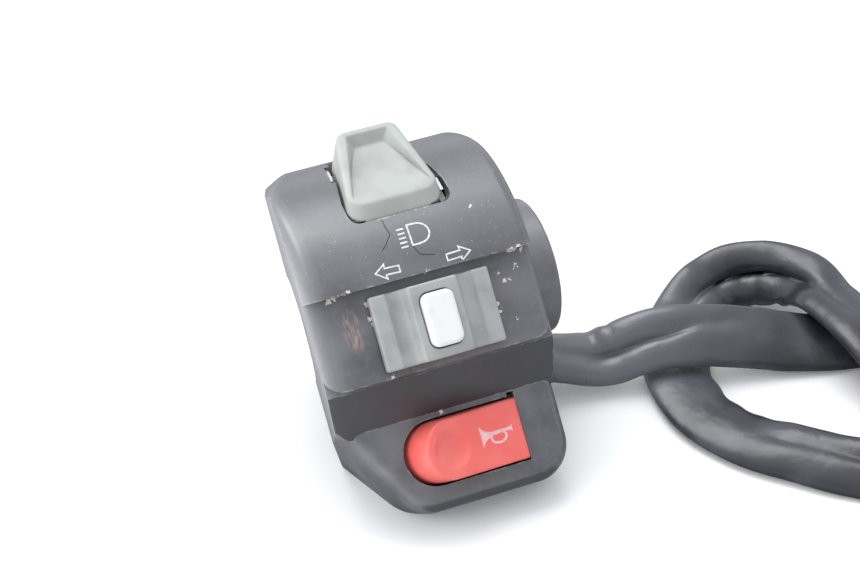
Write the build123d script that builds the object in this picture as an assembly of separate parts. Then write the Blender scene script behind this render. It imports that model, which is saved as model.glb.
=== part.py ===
from build123d import *
import os
from math import atan2, cos, degrees, hypot, pi, radians, sin, sqrt, tan

os.makedirs("parts", exist_ok=True)

# Handlebar switch cluster for the left hand. It is drawn square to its face:
# X runs along the bar, inboard positive, Y runs up the face, Z runs out of the face,
# and the bar's axis is the X axis. lay_back() then turns it about the bar so that its
# slanted back lies level, as it lies on a table, with +Z up.

# Whole casing
bar_radius = 11.1
case_half_width = 24.5
case_low_y = -43.3
back_depth = 20.0
lie_back_angle = 45.7
table_drop = 29.0
wall = 2.3
end_wall = 2.5
overrun = 12.0
fit_gap = 0.05
running_gap = 0.06
free_gap = 0.35
left_draft_angle = 10.2
front_left_draft_angle = 16.7
left_draft_start_z = 21.7

# Crown over the dip switch
crown_radius = 29.5
crown_centre_y = 2.5
crown_centre_z = -4.0
crown_back_radius = back_depth + crown_centre_z
crown_edge_radius = 2.6
crown_right_corner_radius = 11.0
crown_left_corner_radius = 7.0
crown_left_shoulder_radius = 5.0
crown_left_slope_top_x = -9.0
crown_left_slope_low_y = 26.0
crown_peak_y = 35.5
lip_y = 4.3

# Middle panel for the turn switch and the slope under it
panel_z = 22.9
panel_low_y = -14.4
panel_edge_drop = 1.6
panel_edge_set_in = 0.5
panel_corner_radius = 4.0
panel_side_radius = 2.3
slope_low_y = -24.5
slope_low_z = 13.4
shoulder_y = -21.0
shoulder_foot_x = -20.5
shoulder_radius = 2.0

# Lower section for the horn button
horn_face_z = 14.3
horn_left_low_x = -10.3
horn_left_radius = 7.0
horn_right_radius = 8.0
horn_edge_radius = 3.0
horn_root_y = -14.0

# Collar and saddles round the bar
collar_radius = 14.5
collar_end_x = 31.9
collar_edge_radius = 0.7
collar_root_x = 20.0
saddle_radius = 13.4
saddle_left_x = -12.5
saddle_right_x = 11.0

# Casing screws
case_screw_radius = 2.0
case_screw_head_radius = 3.7
case_screw_head_height = 2.4
case_screw_length = 24.0
case_screw_seat_z = -15.6
case_boss_radius = 3.9
case_screw_places = [(16.6, 18.6), (-8.0, -18.0)]
cross_width = 0.9
cross_length = 4.2
cross_depth = 1.3

# Dip switch: grey rocker in a white cradle
dip_pivot_y = 20.0
dip_pivot_z = 10.0
rocker_crease_y = 20.6
rocker_crease_z = 22.3
rocker_rim_y = 36.3
rocker_rim_z = 13.5
rocker_front_half = 10.1
rocker_back_half = 6.4
rocker_front_reach = 2.3
rocker_front_drop = 2.4
rocker_front_corner = 3.0
rocker_back_corner = 2.4
rocker_back_wall = 10.0
rocker_skirt_angle = 142.0
rocker_hub_radius = 2.6
rocker_hub_floor_z = 7.3
rocker_tilt_angle = 14.0
rocker_rim_radius = 0.7
dish_depth = 2.0
dish_top_points = [(8.4, 1.8), (4.4, 16.6)]
dish_floor_points = [(6.6, 8.6), (3.1, 14.8)]
dip_slot_front_y = 17.1
dip_slot_right_room = 1.5
dip_slot_level_shares = [0.0, 0.35, 0.55, 0.75, 0.9, 1.0]
dip_slot_corner = 2.2
dip_pin_radius = 1.2
dip_arm_length = 6.0
dip_arm_half = 3.0
cradle_floor_z = 0.4
cradle_floor = 1.2
cradle_low_y = 14.2
cradle_high_y = 28.8
cradle_cheek = 1.2
cradle_cheek_radius = 25.9
cradle_tab_radius = 28.7
cradle_tab = 0.6
cradle_right_tab_y = (19.6, 22.4)
cradle_left_tab_y = (27.2, 30.2)
cradle_tab_root_z = 4.0
cradle_ear_radius = 2.3
cradle_ear_places = [(-14.4, 21.0), (14.0, 25.6)]
dip_board = 0.8
dip_board_half = 9.6
dip_slider_low_z = 3.1
dip_slider_high_z = 5.0
dip_slider_half = 7.0
dip_slider_length = 9.0
dip_slider_corner = 0.8
dip_bridge = 0.35
dip_bridge_x = 5.0
dip_bridge_width = 2.0
rivet_radius = 1.0
rivet_head = 0.25

# Turn switch: sliding knob with a push to cancel button
knob_x = 0.9
knob_y = -5.3
knob_half_width = 12.8
knob_half_height = 7.7
knob_wing_z = 25.1
knob_valley_z = 24.2
knob_valley_half = 3.3
knob_block_half = 5.3
knob_block_z = 27.4
knob_edge_radius = 0.5
knob_stem_half_x = 4.6
knob_stem_half_y = 4.0
knob_travel = 3.5
cancel_half_x = 3.4
cancel_half_y = 5.5
cancel_corner = 1.7
cancel_gap = 0.28
cancel_top_z = 29.2
cancel_low_z = 26.3
cancel_edge_radius = 0.8
cancel_stem_radius = 1.4
cancel_stem_low_z = 18.4
knob_well_floor_z = 24.2
cancel_spring_radius = 2.1
cancel_spring_wire = 0.3
cancel_spring_turns = 4.5
carrier_half_x = 7.5
carrier_half_y = 5.8
carrier_low_z = 17.2
carrier_high_z = 20.2
turn_base_half_x = 16.6
turn_base_half_y = 8.4
turn_base_low_z = 14.4
turn_base_high_z = 16.6
turn_boss_radius = 2.2
turn_boss_offsets = [-14.3, 14.3]
turn_rail = 1.0
detent_ball_radius = 1.0
detent_offset_y = 4.0
detent_rise_share = 0.6
detent_spring_radius = 0.75
detent_spring_wire = 0.25
detent_spring_turns = 3.5
turn_contact_pitch = 4.5
turn_contact_offset_y = -3.6

# Horn button
horn_mid_y = -31.35
horn_top_half_y = 6.15
horn_root_half_y = 6.5
horn_top_left_x = -7.1
horn_root_left_x = -10.4
horn_right_margin = 9.6
horn_right_x = case_half_width - horn_right_margin
horn_root_z = 11.5
horn_crest_z = 20.1
horn_right_top_z = 15.2
horn_edge_round = 0.6
horn_corner = 0.8
dimple_x = -1.5
dimple_radius = 4.2
dimple_depth = 1.25
horn_pivot_step = 1.4
horn_pivot_x = horn_right_x + horn_pivot_step
horn_pivot_z = 11.0
horn_pin_radius = 0.9
horn_pin_half = 6.6
horn_lug_half_y = 4.6
horn_lug_radius = 1.7
horn_flange_left_x = -12.0
horn_flange_half_y = 3.0
horn_flange = 1.6
horn_stem_x = 2.0
horn_stem_radius = 1.2
horn_stem_low_z = 6.3
horn_base_left_x = -9.6
horn_base_end_gap = 0.6
horn_base_right_x = case_half_width - end_wall - horn_base_end_gap
horn_base_low_y = -36.6
horn_base_z = 1.6
horn_base = 1.5
horn_boss_radius = 1.6
horn_boss_places = [(4.0, -22.5), (horn_base_right_x - horn_boss_radius, horn_mid_y)]
horn_spring_x = -5.4
horn_spring_radius = 2.2
horn_spring_wire = 0.4
horn_spring_turns = 5.5
horn_blade_z = 4.0
horn_blade = 0.3
horn_blade_width = 3.6
horn_blade_root_x = 9.0
horn_blade_tip_x = -0.4
horn_rivet_radius = 1.3

# Small screws that hold the inner plates
plate_screw_radius = 1.2
plate_screw_head_radius = 2.1
plate_screw_head = 1.2
plate_screw_length = 6.5

# Loom
loom_y = -18.6
loom_z = -8.8
sleeve_radius = 4.75
grommet_bore_radius = 3.4
grommet_neck_radius = 4.7
grommet_flange_radius = 5.7
grommet_lip_radius = 6.4
grommet_flange = 1.4
grommet_nose = 3.0
grommet_lip = 1.2
wire_radius = 0.7
wire_bend_radius = 1.5
wire_ring_radius = 2.4
wire_gather_x = 16.0
dip_wire_angles = [30.0, 330.0]
turn_wire_angles = [270.0, 150.0, 90.0]
horn_wire_angle = 210.0
dip_wire_back_gap = 5.0
dip_wire_z = dip_wire_back_gap - back_depth
dip_wire_lanes = [(3.4, -8.0), (7.4, -8.0)]
turn_wire_root_z = 12.6
turn_wire_mid = (-15.2, 6.0)
turn_wire_low = (-15.6, -2.0)
turn_wire_lanes = [-0.2, 3.6, 7.4]
turn_wire_drift = 1.2
horn_wire_points = [(9.0, -1.5), (11.0, -6.5)]
horn_wire_mid_y = -25.0

# Route of the loom's sleeve from the grommet: places on the table, and how high the
# sleeve's middle is lifted above where it lies
sleeve_points = [
    (44.5, -9.4, 6.8),
    (52.0, -11.6, 10.35),
    (64.0, -15.0, 10.35),
    (78.0, -18.4, 4.8),
    (92.0, -22.0, 0.0),
    (109.0, -25.5, 0.0),
    (126.5, -28.5, 0.0),
    (144.0, -35.5, 0.0),
    (156.5, -51.0, 0.0),
    (156.0, -71.0, 0.0),
    (143.0, -86.5, 0.0),
    (122.0, -90.0, 0.0),
    (101.5, -76.5, 0.0),
    (84.5, -61.5, 0.0),
    (70.0, -49.2, 0.0),
    (59.5, -36.5, 0.0),
    (55.3, -21.0, 0.0),
    (59.3, -7.0, 0.0),
    (70.0, 2.0, 0.0),
    (84.0, 4.6, 1.2),
    (94.0, -3.5, 5.8),
    (96.2, -15.5, 10.35),
    (98.0, -31.0, 10.35),
    (100.0, -42.0, 5.0),
    (104.5, -49.5, 0.0),
    (112.0, -53.5, 0.0),
]
sleeve_lead_out = 8.0
corner_share = 0.45

# Connector on the end of the loom
tape_length = 8.0
tape_tip_radius = 3.1
wire_tip_pitch = 1.7
lead_length = 9.0
lead_bend_radius = 1.8
housing_length = 20.0
housing_width = 17.0
housing_height = 11.0
housing_edge = 0.8
terminal_pitch = 4.6
terminal_hole = 3.0
terminal_root = 6.0
terminal_width = 2.4
terminal_thick = 0.8
terminal_length = 10.0
terminal_crimp = 3.0
latch_length = 12.0
latch_width = 5.0
latch_height = 1.8
latch_root = 3.0


def side_face(points, radii):
    """A closed outline in the plane square to the bar, given as (y, z)."""
    return make_face(FilletPolyline(*points, radius=radii, close=True))


def across(face, low_x, high_x):
    return extrude(Plane.YZ.offset(low_x) * face, amount=high_x - low_x)


def outward(face, low_z, high_z):
    return extrude(Plane.XY.offset(low_z) * face, amount=high_z - low_z)


def block(x, y, z):
    """A block from its low and high corners along each axis."""
    sizes = [high - low for low, high in (x, y, z)]
    middles = [(high + low) / 2 for low, high in (x, y, z)]
    return Pos(*middles) * Box(*sizes)


def rod_x(radius, x, y, z):
    return Pos((x[0] + x[1]) / 2, y, z) * Rot(0, 90, 0) * Cylinder(radius, x[1] - x[0])


def rod_y(radius, x, y, z):
    return Pos(x, (y[0] + y[1]) / 2, z) * Rot(90, 0, 0) * Cylinder(radius, y[1] - y[0])


def rod_z(radius, x, y, z):
    return Pos(x, y, (z[0] + z[1]) / 2) * Cylinder(radius, z[1] - z[0])


def rest_line_z(y, inset):
    """Z of the slanted resting face at the level y, or of a line inset from it."""
    tilt = radians(lie_back_angle)
    return (inset - table_drop - y * sin(tilt)) / cos(tilt)


def rest_line_y(z, inset):
    tilt = radians(lie_back_angle)
    return (inset - table_drop - z * cos(tilt)) / sin(tilt)


# Casing


def crown_z(y, inset):
    return crown_centre_z + sqrt((crown_radius - inset) ** 2 - (y - crown_centre_y) ** 2)


def crown_face(inset, low_y):
    """The round crown down to the level low_y, with the rounded upper back."""
    radius = crown_radius - inset
    back_radius = crown_back_radius - inset
    start = (low_y, crown_z(low_y, inset))
    top = (crown_centre_y + radius, crown_centre_z)
    half_turn = atan2(start[1] - crown_centre_z, start[0] - crown_centre_y) / 2
    halfway = (crown_centre_y + radius * cos(half_turn), crown_centre_z + radius * sin(half_turn))
    corner = radians(45)
    turn_y = top[0] - back_radius
    back_halfway = (turn_y + back_radius * cos(corner), crown_centre_z - back_radius * sin(corner))
    back = (turn_y, crown_centre_z - back_radius)
    with BuildLine() as edge:
        ThreePointArc(start, halfway, top)
        ThreePointArc(top, back_halfway, back)
        Polyline(back, (low_y, back[1]), start)
    return make_face(edge.line)


def body_face(inset, low_y):
    """The part of the casing behind the middle panel and its slope."""
    back_z = inset - back_depth
    points = [
        (lip_y, back_z),
        (low_y, back_z),
        (low_y, slope_low_z - inset),
        (panel_low_y - panel_edge_set_in, panel_z - panel_edge_drop - inset),
        (panel_low_y, panel_z - inset),
        (lip_y, panel_z - inset),
    ]
    return side_face(points, [0] * len(points))


def horn_side_face(inset):
    low_y = case_low_y + inset
    back_z = inset - back_depth
    points = [
        (horn_root_y, back_z),
        (low_y, back_z),
        (low_y, horn_face_z - inset),
        (horn_root_y, horn_face_z - inset),
    ]
    return side_face(points, [0] * len(points))


def below_rest_face(inset):
    """Everything under the slanted face that the casing rests on."""
    low_y = case_low_y - overrun
    back_z = -back_depth - overrun
    half = case_half_width + overrun
    points = [(rest_line_y(back_z, inset), back_z), (low_y, rest_line_z(low_y, inset)), (low_y, back_z)]
    return across(make_face(Polyline(*points, close=True)), -half, half)


def case_outline(inset):
    """The casing seen square to its face."""
    left = inset - case_half_width
    right = case_half_width - inset
    lean = (horn_left_low_x - shoulder_foot_x) / (slope_low_y - case_low_y)
    across_inset = inset * sqrt(1 + lean * lean)
    low_y = case_low_y + inset
    low_x = horn_left_low_x + across_inset - lean * inset
    points = [
        (low_x, low_y),
        (right, low_y),
        (right, crown_peak_y - inset),
        (crown_left_slope_top_x, crown_peak_y - inset),
        (left, crown_left_slope_low_y),
        (left, shoulder_y),
        (shoulder_foot_x + across_inset, slope_low_y),
    ]
    radii = [
        horn_left_radius - inset,
        horn_right_radius - inset,
        crown_right_corner_radius - inset,
        crown_left_corner_radius,
        crown_left_shoulder_radius - inset,
        shoulder_radius,
        shoulder_radius,
    ]
    return side_face(points, radii)


def left_draft_cutter(inset):
    """Everything beyond the slanting left ends of the two shells."""
    start_x = inset - case_half_width
    split_x = start_x + left_draft_start_z * tan(radians(left_draft_angle))
    back_x = split_x + (back_depth + overrun) * tan(radians(front_left_draft_angle))
    points = [
        (start_x - overrun, left_draft_start_z),
        (start_x, left_draft_start_z),
        (split_x, 0),
        (back_x, -back_depth - overrun),
        (start_x - overrun, -back_depth - overrun),
    ]
    face = make_face(Polyline(*points, close=True))
    tall = crown_radius + crown_centre_y + overrun
    return extrude(Plane.XZ.offset(-tall) * face, amount=tall - case_low_y + overrun)


def edges_on_sides(solid, low_y, high_y, low_z):
    """Edges of the side walls within a band of levels, in front of low_z."""
    found = []
    for edge in solid.edges():
        points = [edge @ share for share in (0, 0.5, 1)]
        on_side = all(abs(abs(p.X) - case_half_width) < running_gap for p in points)
        in_band = all(low_y - running_gap < p.Y < high_y + running_gap for p in points)
        if on_side and in_band and all(p.Z > low_z for p in points):
            if abs(points[0].Y - points[2].Y) > running_gap:
                found.append(edge)
    return found


def crown_rim_edges(solid):
    """The chain of edges where the crown meets the ends of the casing."""
    found = []
    for edge in solid.edges():
        points = [edge @ share for share in (0.1, 0.5, 0.9)]
        reach = [hypot(p.Y - crown_centre_y, p.Z - crown_centre_z) for p in points]
        rises = hypot((edge @ 0).Y - (edge @ 1).Y, (edge @ 0).Z - (edge @ 1).Z)
        if all(abs(r - crown_radius) < running_gap for r in reach) and rises > free_gap:
            if points[1].Z > crown_centre_z:
                found.append(edge)
    return found


def horn_rim_edges(solid):
    found = []
    for edge in solid.edges():
        points = [edge @ share for share in (0, 0.5, 1)]
        if all(abs(p.Z - horn_face_z) < running_gap for p in points):
            if not all(abs(p.Y - horn_root_y) < running_gap for p in points):
                found.append(edge)
    return found


def panel_corner(side):
    """What is missing outside the rounded lower corner of the middle panel."""
    near = side * (case_half_width - panel_corner_radius)
    far = side * (case_half_width + overrun)
    centre_y = panel_low_y + panel_corner_radius
    z = (panel_z - panel_edge_drop, panel_z + overrun)
    square = block((min(near, far), max(near, far)), (panel_low_y - overrun, centre_y), z)
    return square - rod_z(panel_corner_radius, near, centre_y, z)


def case_blank():
    """The outside of both shells as one block, before it is hollowed."""
    half = case_half_width + overrun
    outline = outward(case_outline(0), -back_depth - overrun, crown_radius)
    crown = across(crown_face(0, lip_y), -half, half) & outline
    crown = fillet(crown_rim_edges(crown), crown_edge_radius)
    body = across(body_face(0, slope_low_y), -half, half) & outline
    body = fillet(edges_on_sides(body, panel_low_y, lip_y, panel_z - panel_edge_drop), panel_side_radius)
    body -= panel_corner(-1) + panel_corner(1)
    horn = across(horn_side_face(0), -half, half) & outline
    horn = fillet(horn_rim_edges(horn), horn_edge_radius)
    return crown + body + horn - below_rest_face(0)


def case_cavity():
    half = case_half_width + overrun
    outline = outward(case_outline(end_wall), -back_depth - overrun, crown_radius)
    room = across(crown_face(wall, lip_y), -half, half) & outline
    room += across(body_face(wall, slope_low_y + wall), -half, half) & outline
    room += across(horn_side_face(wall), -half, half) & outline
    return room - left_draft_cutter(end_wall) - below_rest_face(wall)


def around_bar(radius, low_x, high_x):
    return rod_x(radius, (low_x, high_x), 0, 0)


def dip_slot_floor_z():
    """The level that clears the rocker's back foot when it is tipped all the way."""
    foot_y, foot_z = rocker_back_foot()
    tilt = radians(rocker_tilt_angle)
    sunk = (foot_z - dip_pivot_z) * cos(tilt) - (foot_y - dip_pivot_y) * sin(tilt)
    return dip_pivot_z + sunk - free_gap


def rocker_half_at_crown(y):
    """Half width of the rocker where it passes the casing's surface, at rest or tipped."""
    rise = rocker_rim_y - rocker_crease_y
    drop = rocker_rim_z - rocker_crease_z
    halves = []
    for tilt in (0, radians(rocker_tilt_angle)):
        from_y = y - dip_pivot_y
        from_z = crown_z(y, 0) - dip_pivot_z
        turned_y = dip_pivot_y + from_y * cos(tilt) - from_z * sin(tilt)
        turned_z = dip_pivot_z + from_y * sin(tilt) + from_z * cos(tilt)
        along = (turned_y - rocker_crease_y) * rise + (turned_z - rocker_crease_z) * drop
        halves.append(rocker_half(max(along / rocker_reach(), rocker_front_corner - rocker_front_reach)))
    return max(halves)


def dip_slot():
    """The opening round the rocker, with a drum's room under the panel for its skirt."""
    top_y = crown_centre_y + crown_radius - wall / 2
    levels = [dip_slot_front_y + (top_y - dip_slot_front_y) * share for share in dip_slot_level_shares]
    halves = [rocker_half_at_crown(y) + free_gap for y in levels]
    right = [(half + dip_slot_right_room, y) for half, y in zip(halves, levels)]
    left = [(-half, y) for half, y in zip(halves, levels)]
    far_y = rocker_rim_y + overrun
    points = right + [(right[-1][0], far_y), (left[-1][0], far_y)] + left[::-1]
    radii = [dip_slot_corner] + [0] * (len(points) - 2) + [dip_slot_corner]
    slot = outward(side_face(points, radii), dip_slot_floor_z(), crown_radius + overrun)
    skirt_half = rocker_skirt_half() + free_gap
    drum = rod_x(rocker_skirt_radius() + free_gap, (-skirt_half, skirt_half), dip_pivot_y, dip_pivot_z)
    front_y = (dip_pivot_y - crown_radius, dip_pivot_y)
    front = block((-skirt_half, skirt_half), front_y, (dip_pivot_z, crown_radius))
    return slot + (drum & front) + left_tab_shape(free_gap, dip_slot_floor_z(), crown_radius)


def left_tab_shape(grow, low_z, high_z):
    """The cradle's left tab, which stands along the rocker's tapering side, or its room."""
    low_y, high_y = cradle_left_tab_y
    inner = [rocker_half_at_crown(y) + free_gap for y in cradle_left_tab_y]
    points = [
        (-inner[0] + grow, low_y - grow),
        (-inner[1] + grow, high_y + grow),
        (-inner[1] - cradle_tab - grow, high_y + grow),
        (-inner[0] - cradle_tab - grow, low_y - grow),
    ]
    return outward(side_face(points, [0] * len(points)), low_z, high_z)


def knob_slot():
    half_x = knob_stem_half_x + knob_travel + free_gap
    half_y = knob_stem_half_y + free_gap
    x = (knob_x - half_x, knob_x + half_x)
    y = (knob_y - half_y, knob_y + half_y)
    return block(x, y, (turn_base_high_z, panel_z + overrun))


def horn_outline(left_x, half_y, grow):
    """Outline of the horn button: round at the left, square at the right."""
    radius = half_y + grow
    left = left_x - grow
    right = horn_right_x + grow
    start = (left + radius, radius)
    with BuildLine() as edge:
        ThreePointArc(start, (left, 0), (left + radius, -radius))
        Polyline((left + radius, -radius), (right, -radius), (right, radius), start)
    return Pos(0, horn_mid_y) * make_face(edge.line)


def horn_opening():
    plan = horn_outline(horn_root_left_x, horn_root_half_y, free_gap)
    notch_x = (horn_right_x - horn_corner - free_gap, horn_right_x + free_gap)
    notch_y = horn_mid_y + horn_root_half_y
    z = (horn_root_z - free_gap, horn_face_z + overrun)
    notch = block(notch_x, (notch_y, notch_y + horn_corner + free_gap), z)
    return outward(plan, *z) + notch


def case_screw_front_room(x, y):
    """Clearance hole and head recess through the front shell."""
    hole = rod_z(case_screw_radius + free_gap / 2, x, y, (-back_depth - overrun, 0))
    recess = rod_z(case_screw_head_radius + free_gap, x, y, (-back_depth - overrun, case_screw_seat_z))
    return hole + recess


def case_screw_rear_room(x, y):
    depth = case_screw_length + case_screw_seat_z + free_gap
    return rod_z(case_screw_radius + fit_gap, x, y, (0, depth))


def plate_boss(x, y, radius, low_z, blank):
    """A boss that hangs from the inside of the casing down to an inner plate."""
    return rod_z(radius, x, y, (low_z, crown_radius)) & blank


def plate_boss_room(x, y, low_z):
    return rod_z(plate_screw_radius + fit_gap, x, y, (low_z, low_z + plate_screw_length))


def horn_lug(side, blank):
    """A lug under the horn panel that holds one end of the button's pin."""
    near = horn_mid_y + side * (horn_lug_half_y + free_gap)
    far = horn_mid_y + side * (horn_pin_half + free_gap)
    x = (horn_pivot_x - horn_lug_radius - free_gap, horn_pivot_x + horn_lug_radius + free_gap)
    z = (horn_pivot_z - horn_lug_radius, horn_face_z - wall / 2)
    return block(x, (min(near, far), max(near, far)), z) & blank


def saddles(low_z, high_z, blank, cutter):
    """Half rings that grip the bar at both ends of a shell, with its half of the collar."""
    half = block((-case_half_width, collar_end_x), (-back_depth, back_depth), (low_z, high_z))
    left = around_bar(saddle_radius, -case_half_width, saddle_left_x)
    right = around_bar(saddle_radius, saddle_right_x, case_half_width - end_wall / 2)
    collar = around_bar(collar_radius, collar_root_x, collar_end_x)
    rim = [e for e in collar.edges() if (e @ 0).X > collar_end_x - running_gap]
    collar = fillet(rim, collar_edge_radius)
    inner = ((left + right) & blank) - cutter
    return (inner + collar) & half


def plate_screw_places():
    """Every inner plate screw: where it is, and the level of its plate's underside."""
    cradle = [(x, y, cradle_floor_z) for x, y in cradle_ear_places]
    turn = [(knob_x + dx, knob_y, turn_base_low_z) for dx in turn_boss_offsets]
    horn = [(x, y, horn_base_z) for x, y in horn_boss_places]
    return cradle + turn + horn


def rear_shell(blank, hollow, cutter):
    """The shell that faces the rider and carries the three switches."""
    front_half = block(
        (-case_half_width - overrun, collar_end_x + overrun),
        (case_low_y - overrun, crown_peak_y + overrun),
        (0, crown_radius + overrun),
    )
    shell = (blank - hollow - cutter) & front_half
    shell += saddles(0, saddle_radius + overrun, blank, cutter)
    for x, y in case_screw_places:
        shell += rod_z(case_boss_radius, x, y, (0, horn_face_z + wall)) & blank
    for x, y in cradle_ear_places:
        shell += plate_boss(x, y, cradle_ear_radius, cradle_floor_z + cradle_floor, blank)
    for dx in turn_boss_offsets:
        shell += plate_boss(knob_x + dx, knob_y, turn_boss_radius, turn_base_high_z, blank)
    for x, y in horn_boss_places:
        shell += plate_boss(x, y, horn_boss_radius, horn_base_z + horn_base, blank)
    for side in (-1, 1):
        shell += horn_lug(side, blank)
    shell -= around_bar(bar_radius, -case_half_width - overrun, collar_end_x + overrun)
    shell -= dip_slot() + knob_slot() + horn_opening()
    for x, y in case_screw_places:
        shell -= case_screw_rear_room(x, y)
    for x, y, low_z in plate_screw_places():
        shell -= plate_boss_room(x, y, low_z)
    pin_room = (horn_mid_y - horn_pin_half - fit_gap, horn_mid_y + horn_pin_half + fit_gap)
    shell -= rod_y(horn_pin_radius + fit_gap, horn_pivot_x, pin_room, horn_pivot_z)
    return shell


def front_shell(blank, hollow, cutter):
    """The shell on the far side of the bar, with the screw bosses and the loom outlet."""
    back_half = block(
        (-case_half_width - overrun, collar_end_x + overrun),
        (case_low_y - overrun, crown_peak_y + overrun),
        (-back_depth - overrun, 0),
    )
    shell = (blank - hollow - cutter) & back_half
    shell += saddles(-saddle_radius - overrun, 0, blank, cutter)
    for x, y in case_screw_places:
        shell += rod_z(case_screw_head_radius + free_gap + wall / 2, x, y, (-back_depth, 0)) & blank
    shell -= around_bar(bar_radius, -case_half_width - overrun, collar_end_x + overrun)
    for x, y in case_screw_places:
        shell -= case_screw_front_room(x, y)
    wall_x = case_half_width - end_wall
    shell -= rod_x(grommet_neck_radius, (wall_x - grommet_lip, case_half_width + overrun), loom_y, loom_z)
    shell -= rod_x(grommet_lip_radius, (wall_x - grommet_lip, wall_x), loom_y, loom_z)
    return shell


# Screws


def cross_recess(x, y, head_z, down):
    """The cross cut in a screw's head; down is the way into the head, +1 or -1."""
    z = (min(head_z, head_z + down * cross_depth), max(head_z, head_z + down * cross_depth))
    slots = []
    for half_x, half_y in ((cross_length / 2, cross_width / 2), (cross_width / 2, cross_length / 2)):
        slots.append(block((x - half_x, x + half_x), (y - half_y, y + half_y), z))
    return slots[0] + slots[1]


def case_screws():
    screws = []
    for x, y in case_screw_places:
        head_z = case_screw_seat_z - case_screw_head_height
        shank = rod_z(case_screw_radius, x, y, (case_screw_seat_z, case_screw_seat_z + case_screw_length))
        head = rod_z(case_screw_head_radius, x, y, (head_z, case_screw_seat_z))
        rim = [e for e in head.edges() if abs((e @ 0).Z - head_z) < fit_gap and e.length > case_screw_radius]
        head = fillet(rim, case_screw_head_height / 3)
        screws.append(shank + head - cross_recess(x, y, head_z, 1))
    return screws


def plate_screws(places):
    screws = []
    share = plate_screw_head_radius / case_screw_head_radius
    for x, y, low_z in places:
        head_z = low_z - plate_screw_head
        shank = rod_z(plate_screw_radius, x, y, (low_z, low_z + plate_screw_length - free_gap))
        head = rod_z(plate_screw_head_radius, x, y, (head_z, low_z))
        slot_half = cross_length * share / 2
        thin = cross_width * share / 2
        slot_z = (head_z, head_z + plate_screw_head / 2)
        cross = block((x - slot_half, x + slot_half), (y - thin, y + thin), slot_z)
        cross += block((x - thin, x + thin), (y - slot_half, y + slot_half), slot_z)
        screws.append(shank + head - cross)
    return screws


# Dip switch


def dish_plane():
    """The plane of the rocker's rim, from the crease up to the rim."""
    rise = rocker_rim_y - rocker_crease_y
    drop = rocker_rim_z - rocker_crease_z
    reach = hypot(rise, drop)
    normal = (0, -drop / reach, rise / reach)
    return Plane(origin=(0, rocker_crease_y, rocker_crease_z), x_dir=(1, 0, 0), z_dir=normal)


def rocker_reach():
    return hypot(rocker_rim_y - rocker_crease_y, rocker_rim_z - rocker_crease_z)


def rocker_half(along):
    """Half width of the rocker at a distance along its rim plane from the crease."""
    taper = (rocker_front_half - rocker_back_half) / rocker_reach()
    return rocker_front_half - taper * along


def rocker_plan(front):
    reach = rocker_reach()
    points = [
        (-rocker_half(front), front),
        (rocker_half(front), front),
        (rocker_back_half, reach),
        (-rocker_back_half, reach),
    ]
    radii = [rocker_front_corner, rocker_front_corner, rocker_back_corner, rocker_back_corner]
    return side_face(points, radii)


def rocker_front_foot():
    """The lower front edge of the rocker's cap, from the pivot."""
    step = rocker_front_reach / rocker_reach()
    sink = rocker_front_drop / rocker_reach()
    rise = rocker_rim_y - rocker_crease_y
    drop = rocker_crease_z - rocker_rim_z
    y = rocker_crease_y - rise * step - drop * sink
    return (y - dip_pivot_y, rocker_crease_z + drop * step - rise * sink - dip_pivot_z)


def rocker_skirt_radius():
    return hypot(*rocker_front_foot())


def rocker_skirt_half():
    return rocker_front_half - rocker_front_corner


def rocker_skirt_point(angle):
    turn = radians(angle)
    y = dip_pivot_y + rocker_skirt_radius() * cos(turn)
    return (y, dip_pivot_z + rocker_skirt_radius() * sin(turn))


def rocker_back_foot():
    step = rocker_back_wall / rocker_reach()
    y = rocker_rim_y - (rocker_crease_z - rocker_rim_z) * step
    return (y, rocker_rim_z - (rocker_rim_y - rocker_crease_y) * step)


def rocker_side():
    """Side of the rocker under its rim plane, open below the hub."""
    hub_front = (dip_pivot_y, rocker_hub_floor_z)
    hub_back = (dip_pivot_y + 2 * rocker_hub_radius, rocker_hub_floor_z)
    high = rocker_crease_z + overrun
    front_y = dip_pivot_y - rocker_hub_radius
    points = [hub_front, hub_back, rocker_back_foot(), (rocker_rim_y + overrun, high), (front_y, high)]
    points.append((front_y, rocker_hub_floor_z + rocker_hub_radius))
    return make_face(Polyline(*points, close=True))


def rocker_skirt():
    """Round skirt in front of the rocker that keeps the slot closed as it tips."""
    foot_y, foot_z = rocker_front_foot()
    top_angle = degrees(atan2(foot_z, foot_y))
    top = rocker_skirt_point(top_angle)
    mid = rocker_skirt_point((top_angle + rocker_skirt_angle) / 2)
    low = rocker_skirt_point(rocker_skirt_angle)
    hub_y = dip_pivot_y - rocker_hub_radius
    with BuildLine() as edge:
        ThreePointArc(top, mid, low)
        Polyline(low, (hub_y, rocker_hub_floor_z + rocker_hub_radius), (top[0], dip_pivot_z), top)
    return across(make_face(edge.line), -rocker_skirt_half(), rocker_skirt_half())


def dish_face(points, depth):
    (near_half, near), (far_half, far) = points
    corners = [(-near_half, near), (near_half, near), (far_half, far), (-far_half, far)]
    return dish_plane().offset(-depth) * make_face(Polyline(*corners, close=True))


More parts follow.
